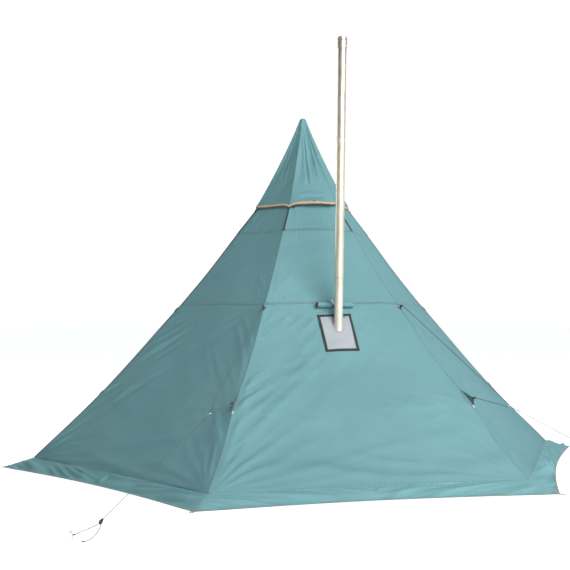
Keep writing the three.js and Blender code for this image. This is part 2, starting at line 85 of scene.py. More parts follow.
SKIRT_BOW = 0.060
HOOD_PUSH = 0.0255  # out, at the middle of the front of the hood's hem
SECOND_SEAM = UPPER * (NECK[1] - 1.565) / (NECK[1] - SEAM[1])  # down the wall from the neck
JACK = (0.216, 0.288)
JACK_AT = UPPER + 0.238  # the jack's centre, down the wall
JACK_OVERLAP = 0.022
PIPE_R = 0.027
PIPE_AT = np.array((0.008, 0.055))  # where the pipe passes, across and up from the jack's centre
DOOR_TOP = UPPER + 0.040
DOOR_FOOT = HEM[0] / 2 - 0.070
LEAF_GAP = 0.0015
LOWER_LOOP_DOWN = 0.8068  # along the ridge, from the seam
UPPER_LOOP_DOWN = 0.030
RIDGE = math.hypot(HEM[0] - SEAM[0], SEAM[1] - HEM[1])  # the lower ridge's length
GUY_POINT = UPPER + LOWER * (LOWER_LOOP_DOWN + 0.026) / RIDGE
# Where ridges bow in, and how deep: (start down the wall, end, depth).
GUYED_HOLLOWS = [(SECOND_SEAM, UPPER, 0.010), (UPPER, GUY_POINT, 0.034), (GUY_POINT, WALL, 0.032)]
FREE_HOLLOWS = [(SECOND_SEAM, UPPER, 0.008), (UPPER, WALL, 0.034)]
GUYED = (0, 1)  # the ridges with guylines
CORD_R = 0.002


# ---------------------------------------------------------------- camera
def make_camera():
    """The camera that was fitted to the photo."""
    data = bpy.data.cameras.new("camera")
    data.sensor_width = 36
    data.lens = 63.74
    cam = new_object("camera", data)
    forward = Vector((0.22289, 0.97453, 0.02466))
    roll = Matrix.Rotation(math.radians(-0.2), 4, "Z")
    turn = forward.to_track_quat("-Z", "Y").to_matrix().to_4x4()
    cam.matrix_world = Matrix.Translation((-1.7258, -6.9557, 1.0361)) @ turn @ roll
    bpy.context.scene.camera = cam
    bpy.context.scene.view_settings.view_transform = "Standard"


# ---------------------------------------------------------------- node materials
class Surface:
    """A node material: m.node(kind, inputs, settings) adds a node and gives its first output."""

    def __init__(self, name, color, roughness, metallic=0.0, **sockets):
        self.material = bpy.data.materials.new(name)
        self.material.use_nodes = True
        self.material.diffuse_color = (*color, 1)
        self.tree = self.material.node_tree
        self.shader = self.tree.nodes["Principled BSDF"]
        self.set(self.shader, {"Base Color": (*color, 1), "Roughness": roughness, "Metallic": metallic})
        self.set(self.shader, sockets)

    def set(self, node, inputs):
        for key, value in inputs.items():
            socket = node.inputs[key]
            if isinstance(value, bpy.types.NodeSocket):
                self.tree.links.new(value, socket)
            else:
                socket.default_value = value

    def color(self, value):
        self.set(self.shader, {"Base Color": value})

    def roughness(self, value):
        self.set(self.shader, {"Roughness": value})

    def node(self, kind, inputs=None, output=0, **settings):
        made = self.tree.nodes.new("ShaderNode" + kind)
        for key, value in settings.items():
            setattr(made, key, value)
        self.set(made, inputs or {})
        return made.outputs[output]

    def math(self, operation, a, b=0.0, c=0.0):
        return self.node("Math", {0: a, 1: b, 2: c}, operation=operation)

    def split(self, vector):
        made = self.tree.nodes.new("ShaderNodeSeparateXYZ")
        self.tree.links.new(vector, made.inputs[0])
        return made.outputs

    def uv(self):
        """The two coordinates of the UV map, which are metres along and across the cloth."""
        return self.split(self.node("UVMap"))[:2]

    def height(self):
        """The height above the ground, in metres."""
        return self.split(self.place())[2]

    def place(self, stretch=(1, 1, 1)):
        """The place on the tent, in metres, stretched along its axes."""
        where = self.node("TexCoord", output="Object")
        return self.node("Mapping", {"Vector": where, "Scale": stretch})

    def noise(self, scale, detail=3.0, vector=None, roughness=0.5, distortion=0.0):
        inputs = {"Scale": scale, "Detail": detail, "Roughness": roughness, "Distortion": distortion}
        return self.node("TexNoise", {"Vector": vector or self.place(), **inputs})

    def ramp(self, value, low, high, to_low=0.0, to_high=1.0):
        inputs = {"Value": value, "From Min": low, "From Max": high, "To Min": to_low, "To Max": to_high}
        return self.node("MapRange", inputs)

    def mix(self, share, a, b):
        made = self.tree.nodes.new("ShaderNodeMix")
        made.data_type = "RGBA"
        self.set(made, {0: share, 6: (*a, 1) if isinstance(a, tuple) else a})
        self.set(made, {7: (*b, 1) if isinstance(b, tuple) else b})
        return made.outputs[2]

    def bump(self, height, distance, strength=1.0):
        """Adds a layer of bump on top of those already there."""
        inputs = {"Height": height, "Distance": distance, "Strength": strength}
        link = next((x for x in self.tree.links if x.to_socket == self.shader.inputs["Normal"]), None)
        if link:
            inputs["Normal"] = link.from_socket
        self.set(self.shader, {"Normal": self.node("Bump", inputs)})

    def wave(self, value, pitch):
        """A sine of the value with that pitch, from -1 to 1."""
        return self.math("SINE", self.math("MULTIPLY", value, 2 * math.pi / pitch))


def weave(m, pitch=0.0016, depth=0.00012):
    """Threads that cross. Gives the two coordinates of the UV map."""
    u, v = m.uv()
    crossing = m.math("MULTIPLY", m.wave(u, pitch), m.wave(v, pitch))
    m.bump(crossing, depth, 0.5)
    return u, v


def stitches(m, u, v, row, thread, color, pitch=0.0045, thick=0.0007):
    """Rows of stitches along u, at v = +row and -row, on that colour."""
    gap = m.math("ABSOLUTE", m.math("SUBTRACT", m.math("ABSOLUTE", v), row))
    near = m.math("LESS_THAN", gap, thick)
    dash = m.math("LESS_THAN", m.math("FRACT", m.math("DIVIDE", u, pitch)), 0.68)
    on = m.math("MULTIPLY", near, dash)
    m.bump(on, 0.0006)
    m.color(m.mix(on, color, thread))


TEAL = (0.133, 0.286, 0.315)
TEAL_PALE = (0.151, 0.312, 0.339)
TEAL_THREAD = (0.10, 0.21, 0.23)
DUST = (0.20, 0.36, 0.38)


def scaled(color, gain, lift=0.0):
    return tuple(min(1, c * gain + lift) for c in color)


def teal_color(m, shade):
    """Coated polyester: slow changes of tone, and dust towards the ground."""
    slow = m.ramp(m.noise(1.6, 3), 0.3, 0.7)
    tone = m.mix(slow, scaled(TEAL, shade), scaled(TEAL_PALE, shade))
    low = m.ramp(m.height(), 0.30, 0.0, 0.0, 0.24)
    patch = m.math("MULTIPLY", low, m.ramp(m.noise(9, 5), 0.35, 0.75))
    return m.mix(patch, tone, DUST)


def cloth_material(name="canopy_cloth", shade=1.0, crumple=0.42):
    sheen = {"Sheen Weight": 0.10, "Sheen Roughness": 0.45, "Sheen Tint": (0.20, 0.55, 0.62, 1)}
    m = Surface(name, TEAL, 0.66, **sheen, **{"Specular IOR Level": 0.12})
    u, v = weave(m)
    grid = m.math("MAXIMUM", m.wave(u, 0.006), m.wave(v, 0.006))
    rib = m.ramp(grid, 0.93, 1.0)
    m.bump(rib, 0.00012, 0.6)
    creases = m.noise(11, 5, m.place((1, 1, 0.55)), 0.58, 0.6)
    m.bump(m.math("ABSOLUTE", m.math("SUBTRACT", creases, 0.5)), 0.010, crumple)
    m.bump(m.noise(55, 3), 0.0016, 0.18)
    tone = teal_color(m, shade)
    m.color(m.mix(m.math("MULTIPLY", rib, 0.10), tone, TEAL_THREAD))
    m.roughness(m.ramp(m.noise(14, 4), 0.3, 0.7, 0.56, 0.68))
    return m.material


def seam_material(name="seam_tape", shade=0.76):
    m = Surface(name, TEAL, 0.6, **{"Sheen Weight": 0.15})
    u, v = weave(m)
    stitches(m, u, v, 0.0048, TEAL_THREAD, teal_color(m, shade))
    m.bump(m.wave(u, 0.031), 0.0004, 0.5)
    return m.material


def webbing_material(name, color, thread, half):
    m = Surface(name, color, 0.78, **{"Sheen Weight": 0.3, "Sheen Roughness": 0.5})
    u, v = m.uv()
    chevron = m.math("ADD", u, m.math("ABSOLUTE", v))
    m.bump(m.math("MULTIPLY", m.wave(chevron, 0.0022), m.wave(v, 0.0018)), 0.00025)
    worn = m.ramp(m.noise(60, 4), 0.45, 0.8, 0.0, 0.25)
    tone = m.mix(worn, color, scaled(color, 2.2, 0.02))
    stitches(m, u, v, half * 0.62, thread, tone, 0.004, 0.0005)
    return m.material


def jack_material():
    m = Surface("jack_cloth", (0.55, 0.58, 0.62), 0.72)
    u, v = weave(m, 0.0024, 0.00035)
    tone = m.mix(m.ramp(m.noise(7, 4), 0.3, 0.75), (0.33, 0.36, 0.39), (0.38, 0.41, 0.44))
    squares = m.math("ADD", m.math("POWER", u, 2), m.math("POWER", m.math("MULTIPLY", v, 0.66), 2))
    ring = m.math("POWER", squares, 0.5)
    soot = m.ramp(ring, 0.030, 0.046, 0.5, 0.0)
    marked = m.mix(m.math("MULTIPLY", soot, m.ramp(m.noise(30, 4), 0.3, 0.7)), tone, (0.20, 0.18, 0.16))
    line = m.math("LESS_THAN", m.math("ABSOLUTE", m.math("SUBTRACT", ring, 0.0395)), 0.0006)
    m.color(m.mix(m.math("MULTIPLY", line, 0.6), marked, (0.16, 0.17, 0.18)))
    m.bump(m.noise(25, 3), 0.002, 0.25)
    return m.material


def net_material():
    m = Surface("vent_net", (0.035, 0.055, 0.060), 0.8)
    u, v = m.uv()
    gaps = [m.ramp(m.wave(axis, 0.0026), -0.35, 0.1) for axis in (u, v)]
    hole = m.math("MULTIPLY", *gaps)
    m.bump(hole, 0.0006)
    # The holes are near-black: painted shade for the dark inside of the hood seen through the netting.
    m.color(m.mix(hole, (0.075, 0.11, 0.115), (0.012, 0.02, 0.022)))
    return m.material


def flue_material():
    m = Surface("flue_steel", (0.80, 0.74, 0.62), 0.34, 0.75)
    z = m.height()
    straw = m.mix(m.ramp(z, 0.95, 1.45), (0.90, 0.83, 0.74), (0.88, 0.82, 0.63))
    tone = m.mix(m.ramp(z, 1.9, 2.35), straw, (0.72, 0.66, 0.57))
    smoky = m.math("MULTIPLY", m.ramp(z, 2.45, 2.73), m.ramp(m.noise(18, 4), 0.3, 0.75))
    brown = m.mix(smoky, tone, (0.42, 0.34, 0.26))
    stain = m.ramp(m.noise(9, 6, m.place((1, 1, 0.25)), 0.62), 0.56, 0.74, 0.0, 0.30)
    m.color(m.mix(stain, brown, (0.50, 0.43, 0.34)))
    brushed = m.noise(260, 2, m.place((1, 1, 0.03)))
    m.bump(brushed, 0.0004, 0.25)
    m.roughness(m.ramp(m.noise(22, 5), 0.3, 0.75, 0.28, 0.46))
    return m.material


def metal_material(name, color, roughness):
    m = Surface(name, color, roughness, 0.9)
    drawn = m.noise(420, 2, m.place((1, 1, 0.02)))
    m.bump(drawn, 0.0003, 0.2)
    scuffed = m.ramp(m.noise(45, 5), 0.55, 0.75, 0.0, 0.35)
    m.color(m.mix(scuffed, color, scaled(color, 0.55)))
    m.roughness(m.ramp(m.noise(70, 4), 0.3, 0.75, roughness - 0.08, roughness + 0.14))
    return m.material


def plastic_material(name, color, roughness=0.5):
    m = Surface(name, color, roughness)
    m.bump(m.noise(900, 2), 0.0002, 0.35)
    worn = m.ramp(m.noise(80, 4), 0.55, 0.8, 0.0, 0.3)
    m.color(m.mix(worn, color, scaled(color, 1.8, 0.03)))
    return m.material


def cord_material():
    m = Surface("guyline_cord", (0.06, 0.095, 0.10), 0.7, **{"Sheen Weight": 0.2})
    m.bump(m.node("TexVoronoi", {"Vector": m.place(), "Scale": 620.0}), 0.0005)
    fleck = m.ramp(m.noise(330, 1), 0.56, 0.62)
    m.color(m.mix(fleck, (0.05, 0.085, 0.09), (0.15, 0.20, 0.20)))
    return m.material


def reflective_material():
    m = Surface("reflective_tape", (0.80, 0.83, 0.84), 0.3, 0.2)
    u, v = m.uv()
    cells = m.math("MAXIMUM", *(m.wave(m.math(way, u, v), 0.0035) for way in ("ADD", "SUBTRACT")))
    m.bump(m.ramp(cells, 0.8, 1.0), 0.0002)
    lines = m.ramp(cells, 0.8, 1.0, 0, 0.4)
    m.color(m.mix(lines, (0.82, 0.85, 0.86), (0.55, 0.58, 0.6)))
    return m.material


def tooth_material():
    m = Surface("zip_coil", (0.03, 0.04, 0.042), 0.42)
    teeth = m.wave(m.uv()[0], 0.0032)
    m.bump(teeth, 0.0008)
    m.color(m.mix(m.ramp(teeth, -1, 1), (0.015, 0.02, 0.022), (0.07, 0.085, 0.09)))
    return m.material


# ---------------------------------------------------------------- mesh building
def new_object(name, data, material=None):
    obj = bpy.data.objects.new(name, data)
    bpy.context.scene.collection.objects.link(obj)
    if material:
        data.materials.append(material)
    return obj


def add_piece(name, mesh, skin, rides=True):
    """A piece that rides on the tent. Its skin is a key of MATERIALS."""
    obj = new_object(name, mesh, MATERIALS[skin])
    if rides:
        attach(obj, "tent")
    return obj


# A sheet of quads. Its points are rows x columns x 3.
Grid = namedtuple("Grid", "points uv wrap_rows wrap_columns flip", defaults=(False, False, False))


def grid_mesh(name, grids):
    vertices, faces, uvs = [], [], []
    count = 0
    for points, uv, wrap_rows, wrap_columns, flip in grids:
        rows, columns = points.shape[:2]
        index = np.arange(rows * columns).reshape(rows, columns) + count
        i = np.append(np.arange(rows), 0) if wrap_rows else np.arange(rows)
        j = np.append(np.arange(columns), 0) if wrap_columns else np.arange(columns)
        ids = index[np.ix_(i, j)]
        quads = np.stack([ids[:-1, :-1], ids[:-1, 1:], ids[1:, 1:], ids[1:, :-1]], -1).reshape(-1, 4)
        quads = quads[:, ::-1] if flip else quads
        vertices.append(points.reshape(-1, 3))
        faces.append(quads)
        uvs.append(uv.reshape(-1, 2)[quads - count].reshape(-1, 2))
        count += rows * columns
    mesh = bpy.data.meshes.new(name)
    mesh.from_pydata(np.concatenate(vertices).tolist(), [], np.concatenate(faces).tolist())
    layer = mesh.uv_layers.new(name="cloth")
    layer.data.foreach_set("uv", np.concatenate(uvs).astype(np.float32).ravel())
    mesh.shade_smooth()
    return mesh


def edit(mesh, change):
    """Runs a change on the mesh as a bmesh."""
    shape = bmesh.new()
    shape.from_mesh(mesh)
    change(shape)
    shape.to_mesh(mesh)
    shape.free()
    mesh.shade_smooth()


def weld(mesh):
    """Joins corners that are in the same place."""
    edit(mesh, lambda shape: bmesh.ops.remove_doubles(shape, verts=shape.verts, dist=2e-5))


def fix_normals(mesh):
    edit(mesh, lambda shape: bmesh.ops.recalc_face_normals(shape, faces=shape.faces))


def close_edges(mesh):
    """Joins two open skins along their edges."""
    edit(mesh, lambda shape: bmesh.ops.bridge_loops(shape, edges=[e for e in shape.edges if e.is_boundary]))
    fix_normals(mesh)


def tent_cloth(name, grids, skin, stands_for):
    """A welded sheet of the tent, which stands for those CAD nodes."""
    mesh = grid_mesh(name, grids)
    weld(mesh)
    obj = add_piece(name, mesh, skin)
    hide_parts(*stands_for)
    return obj


TAPE_HALF, SEAM_HALF = 0.0075, 0.0080  # half the width of a binding and of a cross seam
# A tape's cross-section, in half widths and thicknesses: a low dome with a flat underside.
STRIP_HALF = [(0.5, 1), (0.93, 0.85), (1, 0.35), (0.9, 0)]
STRIP_SHAPE = [(-a, h) for a, h in STRIP_HALF[2::-1]] + [(0, 1.05)] + STRIP_HALF + [(-0.9, 0)]


def strip(name, place, length, half, thick, skin, step=0.012, closed=False, lift=0.0, rides=True):
    """A tape of that half width and thickness. place(along, across, height) gives its points."""
    count = max(2, round(length / step) + 1)
    along = np.linspace(0, length, count)
    if closed:
        along = along[:-1]
    shape = np.array(STRIP_SHAPE)
    t, a = np.meshgrid(along, shape[:, 0] * half, indexing="ij")
    h = np.broadcast_to(shape[:, 1] * thick + lift, t.shape)
    points = place(t, a, h)
    uv = np.stack([t, a], -1)
    mesh = grid_mesh(name, [Grid(points, uv, closed, True)])
    if not closed:
        cap_ends(mesh, count, len(shape))
    fix_normals(mesh)
    return add_piece(name, mesh, skin, rides)


def cap_ends(mesh, rows, columns):
    def cap(shape):
        shape.verts.ensure_lookup_table()
        for start in (0, (rows - 1) * columns):
            shape.faces.new([shape.verts[start + j] for j in range(columns)])

    edit(mesh, cap)


def path_place(path):
    """A place function for strip(): a tape that lies flat along a path, and the path's length."""
    path = np.asarray(path, float)
    reach = np.concatenate([[0], np.cumsum(np.linalg.norm(np.diff(path, axis=0), axis=1))])

    def at(t):
        return np.stack([np.interp(t, reach, path[:, i]) for i in range(3)], -1)

    def place(t, a, h):
        run = at(t + 1e-4) - at(t - 1e-4)
        side = np.stack([run[..., 1], -run[..., 0], np.zeros(t.shape)], -1)
        side /= np.maximum(np.linalg.norm(side, axis=-1, keepdims=True), 1e-9)
        return at(t) + UP * h[..., None] + side * a[..., None]

    return place, reach[-1]


# ---------------------------------------------------------------- the shape of the cloth
def smooth(t):
    t = np.clip(t, 0, 1)
    return t * t * (3 - 2 * t)


def soft_noise(x, y, pitch, seed, waves=7):
    """A smooth random height of about -1 to 1, with features about pitch wide."""
    rng = np.random.default_rng(seed)
    total = np.zeros(np.broadcast(x, y).shape)
    for _ in range(waves):
        turn, phase, width = rng.uniform(0, 2 * np.pi, 2).tolist() + [pitch * rng.uniform(0.7, 1.6)]
        total += np.sin(2 * np.pi / width * (x * np.cos(turn) + y * np.sin(turn)) + phase)
    return total / math.sqrt(waves)


def pleat(phase):
    """Narrow raised folds with wide flats between them, from 0 to 1."""
    return ((1 + np.cos(phase)) / 2) ** 2.2


def fan(x, y, seed, towards, spread, count, reach, depth):
    """Folds that spread from (0, 0) about the direction towards, in radians."""
    rho = np.hypot(x, y) + 1e-6
    phi = np.arctan2(y, x)
    off = np.angle(np.exp(1j * (phi - towards)))
    wobble = 0.8 * soft_noise(x, y, reach * 0.9, seed, 4)
    lines = pleat(count * off + wobble + seed)
    patchy = 0.65 + 0.35 * soft_noise(phi * 0.4, rho * 0.1, 0.12, seed + 1, 4)
    grow = (rho / reach) * np.exp(1 - rho / reach) * 1.2
    return depth * lines * patchy * np.exp(-((off / spread) ** 2)) * grow


def streaks(x, y, edge, side, seed, angle, pitch, reach, depth):
    """Parallel folds that leave an edge at x's side and run inwards and up. edge is the distance from it."""
    across = side * x * math.sin(angle) + y * math.cos(angle)
    along = -side * x * math.cos(angle) + y * math.sin(angle)
    warp = 1.1 * soft_noise(across, along * 0.35, 0.30, seed, 5)
    lines = pleat(2 * np.pi * across / pitch + warp + seed)
    patchy = np.clip(0.45 + 0.6 * soft_noise(across, along * 0.3, 0.20, seed + 3, 5), 0, 1.3)
    return depth * lines * patchy * smooth(edge / 0.05) * np.exp(-((edge / reach) ** 1.6))


def ridge_bow(ridge, down):
    """How far a ridge bows in at a level, because its edge is cut hollow between its fixed points."""
    bow = 0
    for start, end, depth in GUYED_HOLLOWS if ridge % SIDES in GUYED else FREE_HOLLOWS:
        t = np.clip((np.asarray(down) - start) / (end - start), 0, 1)
        bow = bow + depth * np.sin(np.pi * t**1.15) ** 1.25
    return bow


def half_width(down):
    """Half the width of a flat face at a level."""
    return np.interp(down, [0, UPPER, WALL], [NECK[0] / 2, SEAM[0] / 2, HEM[0] / 2])


def second_seam(k, x):
    """How far down the wall the second seam is. The cloth's cut lifts it in the middle of the front."""
    lift = 0.016 if k == FRONT else 0.004
    return SECOND_SEAM - lift * (1 - (x / half_width(SECOND_SEAM)) ** 2)


# How strong the folds beside a ridge are on (face, side); the left ones are the strongest in the photo.
FRONT_LEFT = FACES.index("front_left")
FOLD_GAIN = {(FRONT, -1): 2.3, (FRONT, 1): 1.2, (FRONT_LEFT, -1): 3.0, (FRONT_LEFT, 1): 1.8}


def off_zip(x):
    """The zip keeps its line straight and flat: 0 there, 1 away from it."""
    return 1 - np.exp(-((x / 0.14) ** 2))


def relief(k, x, down):
    """How far the cloth of face k stands out from the flat face, at x across it and down from the neck."""
    half = half_width(down)
    s = x / half
    up = WALL - down  # up from the hem
    lower = np.clip((down - UPPER) / LOWER, 0, 1)
    upper = np.clip(down / UPPER, 0, 1)
    sag = -0.016 * (1 - s * s) * np.sin(np.pi * lower) - 0.006 * (1 - s * s) * np.sin(np.pi * upper)
    slow = 0.0050 * soft_noise(x, up, 0.75, 10 + k, 6) + 0.0012 * soft_noise(x, up, 0.22, 20 + k, 8)
    total = sag + slow * smooth(np.minimum(up / 0.2, 1))
    in_lower = smooth((down - UPPER) / 0.15)
    loop_up = WALL - GUY_POINT
    for side in (-1, 1):
        seed = 100 + 10 * k + side
        edge = half - side * x

        def lean(degrees):
            """The direction that far up from level, away from the side."""
            angle = math.radians(degrees)
            return math.pi - angle if side > 0 else angle

        gain = FOLD_GAIN.get((k, side), 1.1)
        long_gain = 2.6 if (k, side) == (FRONT, 1) else gain
        strong = gain * in_lower * smooth((up - 0.12) / 0.25) * smooth((LOWER + 0.1 - up) / 0.35)
        total += strong * streaks(x, up, edge, side, seed, math.radians(43), 0.078, 0.46, 0.0048)
        total += strong * streaks(x, up, edge, side, seed + 50, math.radians(33), 0.034, 0.30, 0.0016)
        total += (1 - in_lower) * streaks(x, up, edge, side, seed + 8, math.radians(38), 0.055, 0.16, 0.0016)
        corner_x = x - side * HEM[0] / 2
        loop_x = x - side * half_width(GUY_POINT)
        seam_x = x - side * SEAM[0] / 2
        fans = [  # from the corner, the guy loop and the seam's end; the third value tells their seeds apart
            (corner_x, up, 2, lean(38), 0.50, 26, 0.30, 0.0055 * gain),
            (corner_x, up, 4, lean(7), 0.15, 42, 0.75, 0.0060 * long_gain),
            (loop_x, up - loop_up, 5, lean(0), 0.80, 17, 0.22, 0.0050),
            (seam_x, up - LOWER, 6, lean(-35), 0.45, 20, 0.26, 0.0045),
            (seam_x, up - LOWER, 7, lean(48), 0.40, 20, 0.20, 0.0026),
        ]
        for across, above, step, *shape in fans:
            total += fan(across, above, seed + step, *shape)
    gather = np.exp(-down / 0.22) * pleat(2 * np.pi * x / 0.043 + 0.9 * soft_noise(x, down, 0.2, 60 + k, 5))
    total += 0.0026 * gather
    for line in (second_seam(k, x), UPPER, WALL):
        pucker = np.exp(-np.abs(down - line) / 0.030) * (1 - np.exp(-np.abs(down - line) / 0.008))
        total += 0.0022 * pucker * np.sin(2 * np.pi * x / 0.034 + 2 * soft_noise(x, down, 0.25, 70 + k, 4))
    if k == FRONT:
        for side in (-1, 1):
            dx, dy = x - side * JACK[0] / 2, up - (WALL - JACK_AT) + JACK[1] / 2
            total += fan(dx, dy, 210 + side, math.radians(-90 + side * 38), 0.34, 9, 0.30, 0.0075)
            total += fan(dx, dy, 220 + side, math.radians(-90 + side * 80), 0.40, 9, 0.14, 0.0035)
        span = ((x / 0.150) ** 2 + ((down - JACK_AT) / 0.185) ** 2) ** 2
        total *= 1 - np.exp(-span)
    if k == BACK:
        total *= off_zip(x)
    return total * smooth((half - np.abs(x)) / 0.05)


def axes_at(angle):
    """The outward and the sideways direction at an angle round the pole."""
    c, s = math.cos(angle), math.sin(angle)
    return np.array([c, s, 0]), np.array([-s, c, 0])


def face_axes(k):
    return axes_at(FIRST_RIDGE + (2 * k + 1) * HALF_FACE)


def ridge_axes(k):
    return axes_at(FIRST_RIDGE + 2 * k * HALF_FACE)


UP = np.array([0, 0, 1.0])


def stand_off(k, x, half, reach, z, lift, normal_out, normal_up):
    """Points of face k at x across it, lifted off it. Near a ridge the lift turns to follow the ridge."""
    out, across = face_axes(k)
    at_ridge = np.clip(1 - (half - np.abs(x)) / 0.02, 0, 1) * np.sign(x)
    sideways = x + lift * normal_out * math.tan(HALF_FACE) * at_ridge
    outwards = reach + lift * normal_out
    upwards = z + lift * normal_up
    return out * outwards[..., None] + across * sideways[..., None] + UP * upwards[..., None]


def cloth(k, x, down, lift=0.0):
    """Points on the wall of face k, which is one skin from the neck to the hem."""
    x, down, lift = np.broadcast_arrays(*(np.asarray(v, float) for v in (x, down, lift)))
    half = half_width(down)
    z = np.interp(down, [0, UPPER, WALL], [NECK[1], SEAM[1], HEM[1]])
    share = np.clip(x / half, -1, 1)
    left, right = ridge_bow(k, down), ridge_bow(k + 1, down)
    bow = left * ((1 - share) / 2) ** 2 + right * ((1 + share) / 2) ** 2  # fades away from each ridge
    if k == BACK:
        bow = bow * off_zip(x)
    size = 1 - bow / (2 * half)
    turn = smooth((down - UPPER) / 0.10 + 0.5)
    normal = [(1 - turn) * a + turn * b for a, b in zip(UPPER_NORMAL, LOWER_NORMAL)]
    reach = 2 * half * size * APOTHEM
    return stand_off(k, x * size, half * size, reach, z, lift + relief(k, x, down), *normal)


def ridge_place(k, start):
    """A place function for strip(): a tape folded over ridge k, from start down the wall."""
    def place(t, a, h):
        down = start + t
        half = half_width(down)
        right = cloth(k % SIDES, -half + np.maximum(a, 0), down, h)
        left = cloth((k - 1) % SIDES, half + np.minimum(a, 0), down, h)
        return np.where((a >= 0)[..., None], right, left)

    return place


def hinge_x(down):
    """Half the width of the door's opening at a level."""
    return DOOR_FOOT - (DOOR_FOOT - LEAF_GAP) * np.clip((WALL - down) / (WALL - DOOR_TOP), 0, 1)


# ---------------------------------------------------------------- canopy, door and skirt
ROW_STEP = 0.0125
COLUMNS = 44


def wall_rows():
    upper = np.linspace(0, UPPER, round(UPPER / ROW_STEP))
    above_door = np.linspace(UPPER, DOOR_TOP, 4)[1:]
    lower = np.linspace(DOOR_TOP, WALL, round((WALL - DOOR_TOP) / ROW_STEP))[1:]
    return np.concatenate([upper, above_door, lower])


def half_face_grid(k, side, rows):
    """One half of a face, from its middle, or from the door's edge, to its ridge."""
    share = np.linspace(0, 1, COLUMNS)
    share = 1.3 * share - 0.3 * share**3  # finer towards the ridge
    down, share = np.meshgrid(rows, share, indexing="ij")
    half = half_width(down)
    beside_door = (k == BACK) & (down > DOOR_TOP) & ~np.isclose(down, DOOR_TOP)
    inner = np.where(beside_door, hinge_x(down), 0)
    x = side * (inner + (half - inner) * share)
    uv = np.stack([x + 4 * k, down], -1)
    return Grid(cloth(k, x, down), uv, flip=side > 0)


def cut_jack_opening(mesh):
    """Opens the front panel behind the stove jack, along straight edges."""
    out, across = (Vector(v) for v in face_axes(FRONT))
    slope = Vector(UP) * LOWER_NORMAL[0] - out * LOWER_NORMAL[1]  # up the wall
    hem_middle = out * HEM[0] * APOTHEM + Vector(UP) * HEM[1]
    centre = hem_middle + slope * (WALL - JACK_AT)
    half_w, half_h = (size / 2 - JACK_OVERLAP for size in JACK)

    def inside(face, room):
        off = face.calc_center_median() - centre
        return abs(off.dot(across)) < half_w + room and abs(off.dot(slope)) < half_h + room

    def cut(shape):
        for axis, reach in ((across, half_w), (-across, half_w), (slope, half_h), (-slope, half_h)):
            faces = [f for f in shape.faces if inside(f, 0.05)]
            edges, corners = {e for f in faces for e in f.edges}, {v for f in faces for v in f.verts}
            parts = [*faces, *edges, *corners]
            bmesh.ops.bisect_plane(shape, geom=parts, plane_co=centre + axis * reach, plane_no=axis)
        bmesh.ops.delete(shape, geom=[f for f in shape.faces if inside(f, 0)], context="FACES")

    edit(mesh, cut)


def make_canopy():
    rows = wall_rows()
    grids = [half_face_grid(k, side, rows) for k in range(SIDES) for side in (-1, 1)]
    walls = ["upper_wall_" + f for f in FACES] + ["lower_wall_" + f for f in FACES if f != "back"]
    obj = tent_cloth("canopy", grids, "cloth", [*walls, "back_wall_left", "back_wall_right"])
    cut_jack_opening(obj.data)


def make_door(side, word):
    rows = wall_rows()
    rows = rows[rows >= DOOR_TOP - 1e-9]
    down, share = np.meshgrid(rows, np.linspace(0, 1, 70), indexing="ij")
    x = side * (LEAF_GAP + (hinge_x(down) - LEAF_GAP) * share)
    uv = np.stack([x + 4 * BACK, down], -1)
    mesh = grid_mesh("door_cloth_" + word, [Grid(cloth(BACK, x, down), uv, flip=side > 0)])
    leaf = add_piece("door_cloth_" + word, mesh, "cloth", rides=False)
    top = cloth(BACK, side * LEAF_GAP, DOOR_TOP)
    foot = cloth(BACK, side * DOOR_FOOT, WALL)
    line = (top - foot) / np.linalg.norm(top - foot)
    centre = cloth(BACK, side * LEAF_GAP, WALL)
    inwards = (centre - foot) - line * np.dot(centre - foot, line)
    inwards /= np.linalg.norm(inwards)
    zip_length = WALL - DOOR_TOP - 0.036

    def along_edge(inset):
        return lambda t, a, h: cloth(BACK, side * (LEAF_GAP + inset) + a, WALL - 0.004 - t, h)

    def along_hem(t, a, h):
        return cloth(BACK, side * (0.005 + t), WALL - 0.008 + a, h)

    strips = [
        ("zip_tape_", along_edge(0.0075), zip_length, 0.0070, 0.0009, "web", 0.0003),
        ("zip_coil_", along_edge(0.0012), zip_length, 0.0016, 0.0022, "coil", 0.0004),
        ("door_hem_", along_hem, DOOR_FOOT - 0.010, TAPE_HALF, 0.0009, "seam", 0.0002),
    ]
    pieces = [strip(name + word, *shape, lift=lift, rides=False) for name, *shape, lift in strips]
    for obj in (leaf, *pieces):  # each has its place baked into its mesh
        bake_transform(obj)
    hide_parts("door_leaf_" + word)


